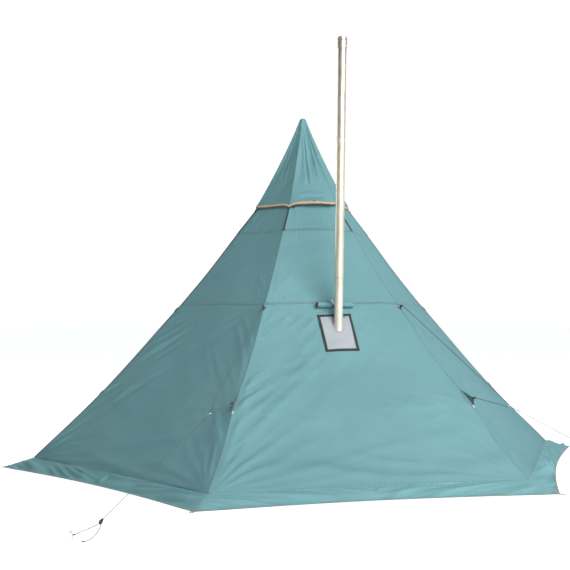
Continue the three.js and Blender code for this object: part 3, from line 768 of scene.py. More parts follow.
def skirt_point(k, x_share, across, lift=0.0):
    """Points on the skirt of face k: x_share runs along it from -1 to 1, and across from 0, the hem, to 1."""
    x_share, across, lift = np.broadcast_arrays(x_share, across, lift)
    length = slope_length(HEM, SKIRT_TIP)
    run_out, run_up = slope_normal(HEM, SKIRT_TIP)
    bow = SKIRT_BOW * (1 - x_share**2)
    down = across * (length - bow)
    r = HEM[0] + (SKIRT_TIP[0] - HEM[0]) * down / length
    z = HEM[1] + (SKIRT_TIP[1] - HEM[1]) * down / length
    x = x_share * r / 2
    settled = smooth((1 - np.abs(x_share)) / 0.10) * np.sin(np.pi * np.clip(across, 0, 1)) ** 0.7
    slant = np.sign(x_share) * down * 1.3
    folds = pleat(2 * np.pi * (x + 2.2 * slant) / 0.34 + 2.2 * soft_noise(x, down, 0.8, 300 + k, 5))
    ripple = pleat(2 * np.pi * (x + 3.4 * slant) / 0.19 + 2.4 * soft_noise(x, down, 0.5, 310 + k, 5))
    patchy = np.clip(0.45 + 0.7 * soft_noise(x, down, 0.6, 320 + k, 5), 0.0, 1.4)
    deep = {FRONT_LEFT: 1.9, FRONT + 1: 3.0}.get(k, 1.0)
    height = deep * settled * (0.014 * patchy * folds + 0.007 * (1.2 - patchy) * ripple - 0.005)
    # the free edge settles towards the ground
    drop = 0.75 * z * smooth((across - 0.45) / 0.55) * smooth((1 - np.abs(x_share)) / 0.12)
    points = stand_off(k, x, r / 2, r * APOTHEM, z - drop, height + lift, run_out, run_up)
    points[..., 2] = np.maximum(points[..., 2], 0.0016 + lift)
    return points


SKIRT_DEPTH = 0.18  # on its UV map


def make_skirt():
    grids = []
    for k in range(SIDES):
        share, across = np.meshgrid(np.linspace(-1, 1, 141), np.linspace(0, 1, 22), indexing="ij")
        uv = np.stack([share * HEM[0] / 2 + 4 * k, across * SKIRT_DEPTH], -1)
        grids.append(Grid(skirt_point(k, share, across), uv))
    # The skirt's cloth is painted lighter than the walls' cloth: painted light, for the skirt facing up.
    obj = tent_cloth("ground_skirt", grids, "skirt", ["skirt_" + f for f in FACES])
    middle = 1 - 0.045  # of the binding, across the skirt
    for k, face in enumerate(FACES):
        def place(t, a, h, k=k):
            return skirt_point(k, np.clip(t - 1, -1, 1), middle + a / SKIRT_DEPTH, h)

        strip("skirt_binding_" + face, place, 2.0, TAPE_HALF, 0.0016, "edge", step=0.016)


# ---------------------------------------------------------------- hood and vent cone
HOOD_SLOPE = slope_length(PEAK, HOOD_HEM)
HOOD_NORMAL = slope_normal(PEAK, HOOD_HEM)
HEM_ARCH = 0.002
CORNER_DIP = (0.028, -0.030, -0.050, 0.030, 0.030, -0.022)  # how far straps pull the hem down, by ridge
HOOD_WAIST = 0.016
HOOD_TOP_R = 0.016
BAND_STEPS = 36  # of the hem's bands, on each face
# A crease above the front hem, and a swell on each side: depth, level, width, half length, middle, fade.
HEM_CREASES = [
    (-0.022, 0.930, 0.012, 0.56, -0.08, 0.3), (0.011, 0.895, 0.016, 0.60, -0.10, 0.3),
    (0.009, 0.956, 0.011, 0.66, 0.0, 0.4),
]


def hood_point(k, x_share, level, lift=0.0):
    """Points on the hood: level runs from its top, 0, to its hem, 1, and x_share from ridge to ridge."""
    x_share, level, lift = np.broadcast_arrays(x_share, level, lift)
    rounded = np.sqrt(1 - (1 - np.clip(level / 0.014, 0, 1)) ** 2)  # the top closes over the pole's tip
    dip = np.where(x_share < 0, CORNER_DIP[k], CORNER_DIP[(k + 1) % SIDES])
    slid = level + dip * np.abs(x_share) ** 6 * level**4
    r = (HOOD_TOP_R + (HOOD_HEM[0] - HOOD_TOP_R) * slid) * rounded
    r = r - HOOD_WAIST * np.sin(np.pi * np.clip(level, 0, 1)) ** 0.7 * smooth(level / 0.15)
    z = PEAK[1] + (HOOD_HEM[1] - PEAK[1]) * slid
    half = r / 2
    x = x_share * half
    inner = smooth((1 - np.abs(x_share)) / 0.30)
    folds = pleat(2 * np.pi * 2.0 * x_share + 1.0 * soft_noise(x_share, level * 0.3, 1.0, 400 + k, 5) + k)
    deep = np.minimum(0.024, 0.20 * half) if k in (FRONT, BACK) else 0.003
    height = deep * (folds - 0.35) * np.sin(np.pi * np.clip(level / 0.80, 0, 1)) ** 0.9 * inner
    fine = soft_noise(x, level * HOOD_SLOPE, 0.16, 410 + k, 6)
    height = height + 0.0025 * fine * inner * smooth(level / 0.3)
    height = height - 0.010 * (1 - x_share**2) * np.sin(np.pi * level)
    arch = HEM_ARCH * (1 - x_share**2) * level**4
    if k == FRONT:
        push = (1 - x_share**2) * smooth((level - 0.45) / 0.55)
        height = height + HOOD_PUSH * push
        for depth, at, wide, reach, middle, fade in HEM_CREASES:
            line = np.exp(-(((level - at) / wide) ** 2))
            height = height + depth * line * smooth((reach - np.abs(x_share - middle)) / fade)
    return stand_off(k, x, half, r * APOTHEM, z + arch, height + lift, *HOOD_NORMAL)


def hood_ring(inset):
    """A place function round the hood's hem, inset up from its edge. One unit of t is one face."""
    def place(t, a, h):
        k = np.floor(t).astype(int) % SIDES
        share = 2 * (t - np.floor(t)) - 1
        level = 1 - (inset + a) / HOOD_SLOPE
        points = np.zeros((*t.shape, 3))
        for face in range(SIDES):
            on = k == face
            points[on] = hood_point(face, share[on], level[on], h[on])
        return points

    return place


def hood_ridge_place(k, start):
    """A place function for strip(): a tape folded over the hood's ridge k, from start down its slope."""
    def place(t, a, h):
        level = (start + t) / HOOD_SLOPE
        half = np.maximum((PEAK[0] + (HOOD_HEM[0] - PEAK[0]) * level) / 2, 0.02)
        right = hood_point(k, -1 + np.maximum(a, 0) / half, level, h)
        left = hood_point((k - 1) % SIDES, 1 + np.minimum(a, 0) / half, level, h)
        return np.where((a >= 0)[..., None], right, left)

    return place


def hem_band(name, inset, half, gain, skin):
    """A closed band round the hood's hem."""
    shape = np.array(STRIP_SHAPE)
    t, a = np.meshgrid(np.arange(SIDES * BAND_STEPS) / BAND_STEPS, shape[:, 0], indexing="ij")
    h = np.broadcast_to(gain * (shape[:, 1] * 0.0034 - 0.0004), t.shape)
    uv = np.stack([t * HOOD_HEM[0], a * 0.0080], -1)
    mesh = grid_mesh(name, [Grid(hood_ring(inset)(t, a * half, h), uv, True, True)])
    fix_normals(mesh)
    add_piece(name, mesh, skin)


def make_hood():
    grids = []
    for k in range(SIDES):
        shares, levels = np.meshgrid(np.linspace(-1, 1, 49), np.linspace(0, 1, 60) ** 1.15, indexing="ij")
        width = PEAK[0] + (HOOD_HEM[0] - PEAK[0]) * levels
        uv = np.stack([shares * width / 2 + k, levels * HOOD_SLOPE], -1)
        grids.append(Grid(hood_point(k, shares, levels), uv))
    obj = tent_cloth("hood_cloth", grids, "cloth", ["peak_hood"])
    hem_band("hood_binding", 0.0070, 0.0080, 1, "tan")
    # A near-black band just under the binding: painted shadow, where the hem shades the hood below it.
    hem_band("hood_hem_painted_shadow", -0.0050, 0.0045, 0.4, "shade")
    start, length = FRONT + 0.155, 0.43 * HOOD_HEM[0]
    strip("hood_hem_stay", lambda t, a, h: hood_ring(0.0060)(start + t / HOOD_HEM[0], a, h), length,
          0.0098, 0.0046, "stay")
    for k in range(SIDES):
        strip(f"hood_seam_{k + 1}", hood_ridge_place(k, 0.07), HOOD_SLOPE - 0.082, TAPE_HALF, 0.0011, "seam")


def make_vent_cone():
    grids = []
    length = slope_length(CONE_TOP, NECK)
    normal = slope_normal(CONE_TOP, NECK)
    foot_r = NECK[0] - 0.004  # just inside the canopy
    for k in range(SIDES):
        share, level = np.meshgrid(np.linspace(-1, 1, 21), np.linspace(0, 1, 36), indexing="ij")
        r = CONE_TOP[0] + (foot_r - CONE_TOP[0]) * level
        z = CONE_TOP[1] + (NECK[1] - CONE_TOP[1]) * level
        x = share * r / 2
        dip = -0.010 * (1 - share**2) * np.sin(np.pi * level)
        r = r - 0.014 * np.sin(np.pi * level)
        points = stand_off(k, x, r / 2, r * APOTHEM, z, dip, *normal)
        grids.append(Grid(points, np.stack([x + k, level * length], -1)))
    obj = tent_cloth("vent_netting", grids, "net", ["vent_cone"])


# ---------------------------------------------------------------- seams on the walls
def make_seams():
    for k in range(SIDES):
        # Ridges without guylines get a wide near-black tape: painted shade along the ridge's shaded edge.
        half, skin = (0.0045, "ridge_seam") if k in GUYED else (0.0120, "ridge_tape_painted_shade")
        strip(f"ridge_seam_{k + 1}", ridge_place(k, 0.062), WALL - 0.066, half, 0.0012, skin, lift=0.0002)
    for k, face in enumerate(FACES):
        for name, level in (("second_seam", SECOND_SEAM), ("middle_seam", UPPER)):
            half = float(half_width(level)) - 0.010

            def place(t, a, h, k=k):
                line = second_seam(k, t - half) if level == SECOND_SEAM else level
                return cloth(k, t - half, line + a, h)

            strip(f"{name}_{face}", place, 2 * half, SEAM_HALF, 0.0011, "seam")
    for k, face in enumerate(FACES):
        half = HEM[0] / 2 - 0.010
        spans = [(-half, half)] if k != BACK else [(-half, -DOOR_FOOT - 0.004), (DOOR_FOOT + 0.004, half)]
        for i, (start, end) in enumerate(spans):
            def place(t, a, h):
                return cloth(k, start + t, WALL - 0.001 + a, h)

            strip(f"hem_seam_{face}_{i + 1}", place, end - start, SEAM_HALF, 0.0006, "cloth")
    for side, word in ((-1, "right"), (1, "left")):  # the cloth's edge beside the door
        def place(t, a, h):
            down = DOOR_TOP + 0.02 + t
            return cloth(BACK, side * (hinge_x(down) + 0.008) + a, down, h)

        strip("door_edge_" + word, place, WALL - DOOR_TOP - 0.024, 0.0070, 0.0012, "seam")


# ---------------------------------------------------------------- stove jack and its rolled cover
def askew(points):
    """The jack is sewn on a little askew and stretched across. Points are across and up from its centre."""
    turn = math.radians(2)
    x, y = points[..., 0] * 1.03, points[..., 1]
    return np.stack([x * math.cos(turn) - y * math.sin(turn), x * math.sin(turn) + y * math.cos(turn)], -1)


JACK_BAND = 0.0085  # half the border's width


def make_jack():
    turns, rings = 96, 26
    angle = np.linspace(0, 2 * np.pi, turns, endpoint=False)
    around = np.stack([np.cos(angle), np.sin(angle)], -1)
    hole_r = PIPE_R + 0.0006
    hole = around * (hole_r, hole_r / LOWER_NORMAL[1]) + PIPE_AT
    half = np.array(JACK) / 2 - 0.001
    grow = np.min(half / np.maximum(np.abs(around), 1e-6), axis=-1)
    edge = askew(grow[:, None] * around)
    share = np.linspace(0, 1, rings)[:, None, None]
    flat = hole * (1 - share) + edge * share
    x, up = flat[..., 0], flat[..., 1] + WALL - JACK_AT
    rho = share[..., 0]
    lip = 0.0055 * np.exp(-rho / 0.07) + 0.0026
    sag = 0.0030 * np.sin(np.pi * rho) * soft_noise(x, up, 0.13, 500, 6)
    points = cloth(FRONT, x, WALL - up, lip + sag)
    grids = [Grid(points, flat - PIPE_AT, wrap_columns=True, flip=True)]
    obj = tent_cloth("stove_jack_cloth", grids, "jack", ["stove_jack"])
    corners = askew((np.array(JACK) / 2 - JACK_BAND) * [(-1, -1), (1, -1), (1, 1), (-1, 1)])
    for i, word in enumerate(("bottom", "right", "top", "left")):
        a0, a1 = corners[i], corners[(i + 1) % 4]
        length = float(np.linalg.norm(a1 - a0))
        run = (a1 - a0) / length
        out = np.array([run[1], -run[0]])

        def place(t, a, h):
            xy = a0 + run * (t - JACK_BAND)[..., None] + out * a[..., None]
            return cloth(FRONT, xy[..., 0], JACK_AT - xy[..., 1], h)

        strip("jack_border_" + word, place, length + 2 * JACK_BAND, JACK_BAND, 0.0018, "border", step=0.010,
              lift=0.0034 + 0.0004 * (i % 2))


def make_jack_cover():
    """A flap rolled up under the seam: its edge is sewn to the seam, and the rest is a spiral."""
    radius, width, centre_x = 0.019, 0.232, 0.010
    roll_up, roll_out = LOWER - 0.030, 0.0205  # the roll's middle, up from the hem and off the wall
    turn = np.linspace(0, 2 * np.pi * 3.1, 150)
    size = radius * (1 - 0.62 * turn / turn[-1])
    out = roll_out - size * np.cos(turn + 0.35)
    up = roll_up + size * np.sin(turn + 0.35) * 1.02
    edge_up = np.linspace(LOWER - 0.004, up[0], 8)[:-1]
    edge_out = np.linspace(0.0022, out[0], 8)[:-1]
    up, out = np.concatenate([edge_up, up]), np.concatenate([edge_out, out])
    x = np.linspace(-width / 2, width / 2, 60)
    rows, columns = np.meshgrid(np.arange(len(up)), x, indexing="ij")
    squeeze = 1 - 0.14 * np.exp(-(((columns - 0.004) / 0.012) ** 2))
    wrinkle = 0.0012 * soft_noise(columns, up[rows] * 4, 0.05, 520, 6)
    ends = 0.004 * soft_noise(rows * 0.01, 0 * columns, 0.3, 530, 4) * np.abs(columns) / (width / 2)
    lift = roll_out + (out[rows] - roll_out) * squeeze + wrinkle
    height = roll_up + (up[rows] - roll_up) * squeeze
    points = cloth(FRONT, centre_x + columns + ends, WALL - height, lift)
    path = np.concatenate([[0], np.cumsum(np.hypot(np.diff(up), np.diff(out)))])
    uv = np.stack([columns, path[rows]], -1)
    obj = tent_cloth("jack_cover_roll", [Grid(points, uv)], "cloth", ["jack_flap"])
    for i, (offset, slant) in enumerate(((-0.006, 0.0), (-0.108, 0.004))):
        def place(t, a, h):
            angle = t / radius
            grip = radius * 0.93 + h
            around_up = roll_up + grip * np.sin(angle)
            around_out = np.maximum(roll_out + 0.0003 - grip * np.cos(angle), 0.0015)
            return cloth(FRONT, offset + a + slant * np.sin(angle), WALL - around_up, around_out)

        strip(f"jack_cover_strap_{i + 1}", place, 2 * np.pi * radius, 0.0055, 0.0016, "web", step=0.004,
              closed=True)
    middle = cloth(FRONT, -0.010, WALL - roll_up - 0.002, roll_out + radius + 0.0060)
    make_toggle("jack_cover_toggle", middle, (-0.42, 0.10, 0.90), 0.040, 0.0055, "toggle")


def make_toggle(name, middle, direction, length, radius, skin):
    """A turned bar with a waist and rounded ends."""
    along = Vector(direction).normalized()
    t = np.linspace(-1, 1, 25)
    r = radius * np.sqrt(np.clip(1 - np.abs(t) ** 6, 0, 1)) * (1 - 0.22 * np.exp(-((t / 0.16) ** 2)))
    angle = np.linspace(0, 2 * np.pi, 16, endpoint=False)
    side = along.orthogonal().normalized()
    other = along.cross(side)
    circle = np.outer(np.cos(angle), side) + np.outer(np.sin(angle), other)
    points = np.asarray(middle) + np.outer(t * length / 2, along)[:, None] + r[:, None, None] * circle
    uv = np.stack(np.meshgrid(t * length / 2, angle * radius, indexing="ij"), -1)
    mesh = grid_mesh(name, [Grid(points, uv, wrap_columns=True)])
    weld(mesh)
    fix_normals(mesh)
    add_piece(name, mesh, skin)


# ---------------------------------------------------------------- ridge webbing and loops
def ridge_point(k, along, out=0.0, side=0.0):
    """A point along from the seam down ridge k, and out from it."""
    radial, across = ridge_axes(k)
    run = (radial * (HEM[0] - SEAM[0]) + UP * (HEM[1] - SEAM[1])) / RIDGE
    outwards = radial * -run[2] + UP * np.dot(run, radial)
    along, out, side = (np.asarray(v, float) for v in np.broadcast_arrays(along, out, side))
    level = UPPER + along / RIDGE * LOWER
    r = 2 * half_width(level) - ridge_bow(k, level)
    z = SEAM[1] + run[2] * along
    return radial * r[..., None] + UP * z[..., None] + outwards * out[..., None] + across * side[..., None]


def make_fin(name, k, down, base, reach, lean, thick, skin):
    """A triangular gusset that stands out from the ridge, with hollow sides and a soft bend."""
    share, out = np.meshgrid(np.linspace(-1, 1, 17), np.linspace(0, 1, 12), indexing="ij")
    width = base * (1 - out) ** 1.35 + 0.006 * out
    along = down + lean * out + share * width
    bend = 0.0022 * np.sin(np.pi * out) * np.cos(share * 2.2)
    grids = []
    for face in (-1, 1):
        off = face * thick / 2 * (1 - 0.5 * np.abs(share) ** 6) + bend
        points = ridge_point(k, along, 0.0004 + reach * out, off)
        uv = np.stack([along - down, out * reach], -1)
        grids.append(Grid(points, uv, flip=face > 0))
    mesh = grid_mesh(name, grids)
    close_edges(mesh)
    add_piece(name, mesh, skin)


def make_tab(name, k, down, out, length, half, skin):
    """A short loop of webbing at the tip of a gusset, folded round a small eye."""
    turn = np.linspace(0, np.pi * 2, 26, endpoint=False)
    across = ridge_axes(k)[1]
    sides = []
    for wide, tall, edges in ((0.0052, 1.0, (half, -half)), (0.00234, 0.7, (-half, half))):  # outside, inside
        path = ridge_point(k, down + wide * np.sin(turn), out + length / 2 * (1 - tall * np.cos(turn)))
        sides += [path + across * edge for edge in edges]
    uv = np.stack(np.meshgrid(turn * length / 6, [half, -half, -half, half], indexing="ij"), -1)
    mesh = grid_mesh(name, [Grid(np.stack(sides, 1), uv, True, True)])
    fix_normals(mesh)
    soften = add_piece(name, mesh, skin).modifiers.new("round", "BEVEL")
    soften.width, soften.segments = 0.0007, 2


def patch_on_ridge(name, k, down, base, wing, skin, lift=0.0014):
    """A diamond reinforcement sewn over a ridge, lying on both faces."""
    share, across = np.meshgrid(np.linspace(-1, 1, 21), np.linspace(-1, 1, 21), indexing="ij")
    level = UPPER + (down + share * base) / RIDGE * LOWER
    a = across * wing * (1 - np.abs(share)) + 1e-6
    points = ridge_place(k, 0.0)(level, a, np.full(level.shape, lift))
    mesh = grid_mesh(name, [Grid(points, np.stack([share * base, a], -1), flip=True)])
    weld(mesh)
    thick = add_piece(name, mesh, skin).modifiers.new("thick", "SOLIDIFY")
    thick.thickness, thick.offset = 0.0010, -0.6


def make_ridge_gear():
    top = 0.050  # where a hood strap starts, down the wall
    for k in range(SIDES):
        number = k + 1
        strap = strip(f"hood_strap_{number}", ridge_place(k, top), SECOND_SEAM - top, 0.0070, 0.0018, "web",
                      lift=0.0012)
        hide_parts(f"ridge_strap_{number}")
        make_buckle(f"hood_buckle_{number}", k)
        patch_on_ridge(f"upper_patch_{number}", k, UPPER_LOOP_DOWN + 0.006, 0.030, 0.014, "web")
        patch_on_ridge(f"reflector_{number}", k, UPPER_LOOP_DOWN - 0.004, 0.012, 0.007, "shiny", 0.0026)
        if k in GUYED:
            make_fin(f"upper_gusset_{number}", k, UPPER_LOOP_DOWN, 0.024, 0.016, 0.010, 0.0030, "web")
            make_tab(f"upper_guy_loop_{number}", k, UPPER_LOOP_DOWN + 0.010, 0.013, 0.014, 0.0055, "web")
            # The lower gussets are a darker copy of the seam cloth: painted shade, for their shaded side.
            make_fin(f"lower_gusset_{number}", k, LOWER_LOOP_DOWN, 0.074, 0.034, 0.026, 0.0034, "shaded_gusset")
            make_tab(f"lower_guy_loop_{number}", k, LOWER_LOOP_DOWN + 0.026, 0.026, 0.020, 0.0075, "web")
        else:
            for word, level in (("upper", UPPER_LOOP_DOWN), ("lower", LOWER_LOOP_DOWN)):
                place = ridge_place(k, UPPER + (level + 0.004) / RIDGE * LOWER)
                strip(f"{word}_guy_loop_{number}", place, 0.034, 0.0060, 0.0030, "web", lift=0.0020)
        patch_on_ridge(f"lower_patch_{number}", k, LOWER_LOOP_DOWN + 0.004, 0.095, 0.026, "seam")
        patch_on_ridge(f"lower_reflector_{number}", k, LOWER_LOOP_DOWN + 0.062, 0.014, 0.008, "shiny", 0.0026)
        make_peg_loop(f"peg_loop_{number}", k)


def make_buckle(name, k):
    """The ladder buckle where a hood strap meets the hood's corner, with the strap's loose tail."""
    place = ridge_place(k, 0.0)
    rows, columns = np.meshgrid(np.linspace(0, 1, 9), np.linspace(-1, 1, 9), indexing="ij")
    level = 0.052 + rows * 0.026
    half = 0.0105 * (1 - 0.18 * (2 * rows - 1) ** 4)
    dome = 0.0030 + 0.0028 * (1 - columns**4) * (1 - (2 * rows - 1) ** 6)
    top = place(level, columns * half, dome)
    bottom = place(level, columns * half, np.full(level.shape, 0.0018))
    uv = np.stack([level, columns * half], -1)
    mesh = grid_mesh(name, [Grid(top, uv), Grid(bottom, uv, flip=True)])
    close_edges(mesh)
    add_piece(name, mesh, "plastic")

    def tail_place(t, a, h):
        return place(0.060 + 0.62 * t + a, 0.010 + 0.85 * t - 0.3 * a, h + 0.3 * t)

    strip(name + "_tail", tail_place, 0.036, 0.0048, 0.0014, "web", step=0.005, lift=0.0026)


def make_peg_loop(name, k):
    """A flat loop of webbing sewn under the skirt's corner, for a peg."""
    radial, across = ridge_axes(k)
    turn = np.linspace(-np.pi / 2, np.pi / 2, 15)
    eye_at, eye_r = 2.0845, 0.0085  # the loop's round end
    tip = [(eye_at + eye_r * math.cos(t), eye_r * math.sin(t)) for t in turn]
    outline = [(2.010, -0.007), (2.045, -0.0075), *tip, (2.045, 0.0075), (2.010, 0.007)]
    path = [radial * r + across * a + UP * (0.0030 + 0.012 * smooth((2.06 - r) / 0.06)) for r, a in outline]
    place, length = path_place(path)
    strip(name, place, length, 0.0042, 0.0016, "edge", step=0.003)


# ---------------------------------------------------------------- cords
# Routes on the -X side. The +X side's are their mirror images.
BRIDLE = [
    (-0.4596, -0.7956, 1.061), (-0.523, -0.888, 0.975), (-0.589, -0.984, 0.886), (-0.676, -1.111, 0.768),
    (-0.763, -1.239, 0.650), (-0.828, -1.334, 0.561), (-0.871, -1.398, 0.502), (-0.8865, -1.420, 0.4815),
    (-0.8931, -1.4296, 0.4726), (-0.8941, -1.4323, 0.4686), (-0.8926, -1.4331, 0.464),
    (-0.8892, -1.4317, 0.4608), (-0.8853, -1.4287, 0.4603), (-0.8716, -1.4147, 0.4645),
    (-0.844, -1.387, 0.473), (-0.800, -1.342, 0.486), (-0.760, -1.301, 0.4985), (-0.7418, -1.2825, 0.504),
]
GUYLINE = [
    (-0.898, -1.439, 0.4607), (-0.9605, -1.5101, 0.4189), (-1.023, -1.5812, 0.3772),
    (-1.0856, -1.6523, 0.3354), (-1.148, -1.7234, 0.2937), (-1.2106, -1.7945, 0.2519),
    (-1.2732, -1.8657, 0.2101), (-1.3357, -1.9368, 0.1684), (-1.3982, -2.0079, 0.1266),
    (-1.4608, -2.079, 0.0849), (-1.5233, -2.1501, 0.0431), (-1.530, -2.1565, 0.0395),
    (-1.540, -2.165, 0.0365), (-1.560, -2.182, 0.0325), (-1.590, -2.2075, 0.027), (-1.620, -2.233, 0.0215),
    (-1.640, -2.250, 0.018),
]
TAIL = [
    (-1.512, -2.138, 0.0335), (-1.5135, -2.144, 0.0275), (-1.518, -2.156, 0.0215), (-1.526, -2.178, 0.014),
    (-1.536, -2.204, 0.008), (-1.546, -2.231, 0.0042), (-1.555, -2.256, 0.0026), (-1.563, -2.278, 0.0023),
    (-1.572, -2.298, 0.0023), (-1.584, -2.315, 0.0023), (-1.600, -2.328, 0.0023),
]


def smooth_route(points, steps=6):
    """A centripetal Catmull-Rom curve through the points."""
    p = [np.array(v, float) for v in points]
    p = [2 * p[0] - p[1], *p, 2 * p[-1] - p[-2]]
    route = []
    for a, b, c, d in zip(p, p[1:], p[2:], p[3:]):
        t1 = np.linalg.norm(b - a) ** 0.5
        t2 = t1 + np.linalg.norm(c - b) ** 0.5
        t3 = t2 + np.linalg.norm(d - c) ** 0.5
        for t in np.linspace(t1, t2, steps, endpoint=False):
            ab = a + (b - a) * t / t1
            bc = b + (c - b) * (t - t1) / (t2 - t1)
            cd = c + (d - c) * (t - t2) / (t3 - t2)
            abc = ab + (bc - ab) * t / t2
            bcd = bc + (cd - bc) * (t - t1) / (t3 - t1)
            route.append(abc + (bcd - abc) * (t - t1) / (t2 - t1))
    return np.array([*route, p[-2]])


def curve_piece(name, points, radius, closed=False):
    data = bpy.data.curves.new(name, "CURVE")
    data.dimensions = "3D"
    data.bevel_depth = radius
    data.bevel_resolution = 3
    data.use_fill_caps = True
    spline = data.splines.new("POLY")
    spline.points.add(len(points) - 1)
    for point, at in zip(spline.points, points):
        point.co = (*at, 1)
    spline.use_cyclic_u = closed
    spline.use_smooth = True
    return new_object(name, data, MATERIALS["cord"])


def knot(name, at, size, body):
    """A small overhand knot."""
    t = np.linspace(0, 2 * np.pi, 72, endpoint=False)
    ring = 1 + 0.45 * np.cos(3 * t)
    points = np.stack([ring * np.cos(2 * t), ring * np.sin(2 * t), 0.55 * np.sin(3 * t)], -1) * size
    obj = curve_piece(name, points + np.array(at), CORD_R * 0.8, closed=True)
    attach(obj, body)
    return obj


CORD_NODES = {"bridle": "bridle_cord_", "guyline": "guyline_", "tail": "guyline_tail_"}
KNOTS = {"top": ("bridle", 2, 0.0036), "low": ("bridle", -3, 0.0036), "ring": ("guyline", 3, 0.0042),
         "stake": ("guyline", -2, 0.0040)}  # each on a point of a route, and its size


def make_cords():
    for word, flip in (("left", 1), ("right", -1)):
        routes = {name: smooth_route([(flip * x, y, z) for x, y, z in route])
                  for name, route in (("bridle", BRIDLE), ("guyline", GUYLINE), ("tail", TAIL))}
        tensioner = "tensioner_" + word
        lines = {}
        for name, route in routes.items():
            lines[name] = curve_piece(f"{name}_line_{word}", route, CORD_R)
            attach(lines[name], tensioner if name == "tail" else "tent")
            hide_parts(CORD_NODES[name] + word)
        knots = {name: knot(f"knot_{name}_{word}", routes[line][i], size, "tent")
                 for name, (line, i, size) in KNOTS.items()}
        end_at = np.array(routes["tail"][-1]) + (0, 0, 0.003)
        knots["end"] = knot(f"knot_end_{word}", end_at, 0.0030, tensioner)


# ---------------------------------------------------------------- CAD nodes that stay
def dress(names, skin, bevel=0.0):
    for name in names:
        obj = nodes[name]
        obj.data.materials.clear()
        obj.data.materials.append(MATERIALS[skin])
        obj.data.shade_smooth()
        obj.data.set_sharp_from_angle(angle=math.radians(38))
        if bevel:
            rounding = obj.modifiers.new("edges", "BEVEL")
            rounding.width, rounding.segments = bevel, 2
            rounding.limit_method, rounding.angle_limit = "ANGLE", math.radians(38)


def dress_cad():
    sections = ["pipe_" + word for word in ("bottom", "lower", "middle", "upper", "top")]
    dress([*sections, "spark_arrestor"], "flue")
    dress(["pole_lower", "pole_middle", "pole_upper"], "pole")
    dress(["pole_foot", "pole_tip"], "plastic")
    dress(["vent_prop", "zip_slider"], "plastic", 0.0008)
    for word in ("left", "right"):
        dress(["guy_stake_" + word], "peg")
        dress(["cord_ring_" + word], "ring")
        dress(["tensioner_" + word], "plastic", 0.0012)


# ---------------------------------------------------------------- floor and light
AMBIENT = (0.0, 0.29)  # on the left, elsewhere


def add_softbox(name, place, size, power, color=(1, 1, 1)):
    light = bpy.data.lights.new(name, "AREA")
    light.shape = "DISK"
    light.size = size
    light.energy = power
    light.color = color
    lamp = new_object(name, light)
    lamp.location = place
    lamp.visible_camera = False
    towards = Vector((0, 0, 0.8)) - Vector(place)
    lamp.rotation_euler = towards.to_track_quat("-Z", "Y").to_euler()


def add_glowing(name, corners, faces, grey, roughness, strength, specular):
    """A piece of the stage that gives off white light."""
    mesh = bpy.data.meshes.new(name)
    mesh.from_pydata(corners, [], faces)
    glow = {"Emission Color": (1, 1, 1, 1), "Emission Strength": strength, "Specular IOR Level": specular}
    return new_object(name, mesh, Surface(name, (grey, grey, grey), roughness, **glow).material)


def make_stage():
    reach = 60
    corners = [(x * reach, y * reach, -0.001) for x, y in ((-1, -1), (1, -1), (1, 1), (-1, 1))]
    add_glowing("floor", corners, [(0, 1, 2, 3)], 0.80, 0.9, 0.78, 0.1)
    make_backdrop()
    make_studio()
    add_softbox("key", (1.9, -6.4, 5.2), 6.2, 660, (1.0, 0.985, 0.965))
    add_softbox("left", (-3.8, 4.6, 2.8), 1.2, 20)
    add_softbox("back", (1.5, 6.5, 4.0), 3.0, 260)


def make_backdrop():
    """A white wall and ceiling all round. Only the camera sees it, so it adds no light."""
    count, radius, height = 48, 55, 50
    turns = [2 * math.pi * i / count for i in range(count)]
    corners = [(radius * math.cos(t), radius * math.sin(t), z) for z in (-1, height) for t in turns]
    sides = [(i, (i + 1) % count, (i + 1) % count + count, i + count) for i in range(count)]
    ceiling = tuple(range(count, 2 * count))
    backdrop = add_glowing("backdrop", corners, [*sides, ceiling], 0.0, 1, 1.05, 0)
    backdrop.visible_diffuse = backdrop.visible_glossy = backdrop.visible_transmission = False
    backdrop.visible_shadow = False
    return backdrop


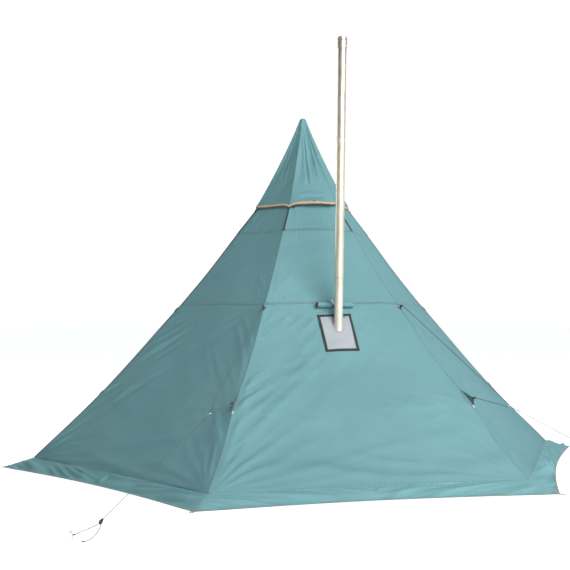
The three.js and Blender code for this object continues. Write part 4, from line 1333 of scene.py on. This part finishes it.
def make_studio():
    """Soft light from all round except the left, stronger from low behind the tent."""
    world = bpy.data.worlds.new("studio")
    bpy.context.scene.world = world
    world.use_nodes = True
    tree = world.node_tree
    split = tree.nodes.new("ShaderNodeSeparateXYZ")
    tree.links.new(tree.nodes.new("ShaderNodeTexCoord").outputs["Generated"], split.inputs[0])

    def ramp(axis, low, high, to_low, to_high):
        made = tree.nodes.new("ShaderNodeMapRange")
        tree.links.new(split.outputs[axis], made.inputs["Value"])
        for key, value in {"From Min": low, "From Max": high, "To Min": to_low, "To Max": to_high}.items():
            made.inputs[key].default_value = value
        return made.outputs[0]

    def combine(operation, a, b):
        made = tree.nodes.new("ShaderNodeMath")
        made.operation = operation
        tree.links.new(a, made.inputs[0])
        tree.links.new(b, made.inputs[1])
        return made.outputs[0]

    around = ramp("X", -0.60, -0.10, *AMBIENT)
    behind = combine("MULTIPLY", ramp("Y", 0.55, 0.80, 0, 1.14), ramp("Z", 0.34, 0.50, 1, 0))
    tree.links.new(combine("MAXIMUM", around, behind), tree.nodes["Background"].inputs["Strength"])
    tree.nodes["Background"].inputs["Color"].default_value = (0.89, 1, 1.03, 1)


# ---------------------------------------------------------------- assembly
MATERIALS = {
    "cloth": cloth_material(),
    # The skirt's cloth is the wall cloth made 1.22 times lighter: painted light, for the skirt facing up into
    # more light.
    "skirt": cloth_material("skirt_cloth_painted_light", 1.22, 0.75),
    "seam": seam_material(),
    # Seam cloth at 0.40 of its tone, for the lower gussets: painted shade.
    "shaded_gusset": seam_material("gusset_cloth_painted_shade", 0.40),
    # Seam cloth at 0.14 of its tone, for the ridges without guylines: painted shade.
    "ridge_tape_painted_shade": seam_material("ridge_tape_painted_shade", 0.14),
    "ridge_seam": seam_material("ridge_tape", 0.84),
    "web": webbing_material("black_webbing", (0.012, 0.024, 0.028), (0.03, 0.05, 0.055), 0.007),
    "border": webbing_material("jack_border", (0.010, 0.020, 0.026), (0.03, 0.045, 0.05), 0.0085),
    "tan": webbing_material("tan_binding", (0.50, 0.37, 0.245), (0.32, 0.21, 0.12), 0.0080),
    # Near-black brown for the band under the hood's hem: painted shadow.
    "shade": webbing_material("hem_painted_shadow", (0.060, 0.045, 0.032), (0.04, 0.03, 0.02), 0.0030),
    "stay": webbing_material("hem_stay", (0.56, 0.38, 0.22), (0.34, 0.21, 0.11), 0.0095),
    "edge": webbing_material("edge_binding", (0.19, 0.25, 0.23), (0.14, 0.17, 0.15), 0.0075),
    "jack": jack_material(),
    "net": net_material(),
    "flue": flue_material(),
    "pole": metal_material("pole_aluminium", (0.62, 0.64, 0.66), 0.32),
    "peg": metal_material("peg_aluminium", (0.60, 0.61, 0.63), 0.30),
    "ring": metal_material("ring_steel", (0.78, 0.79, 0.80), 0.22),
    "plastic": plastic_material("black_plastic", (0.016, 0.020, 0.021)),
    "toggle": plastic_material("pale_plastic", (0.74, 0.77, 0.76), 0.45),
    "cord": cord_material(),
    "shiny": reflective_material(),
    "coil": tooth_material(),
}

make_camera()
make_cords()
make_canopy()
for door_side, door_word in ((1, "left"), (-1, "right")):
    make_door(door_side, door_word)
make_skirt()
make_hood()
make_vent_cone()
make_seams()
make_jack()
make_jack_cover()
make_ridge_gear()
dress_cad()
make_stage()
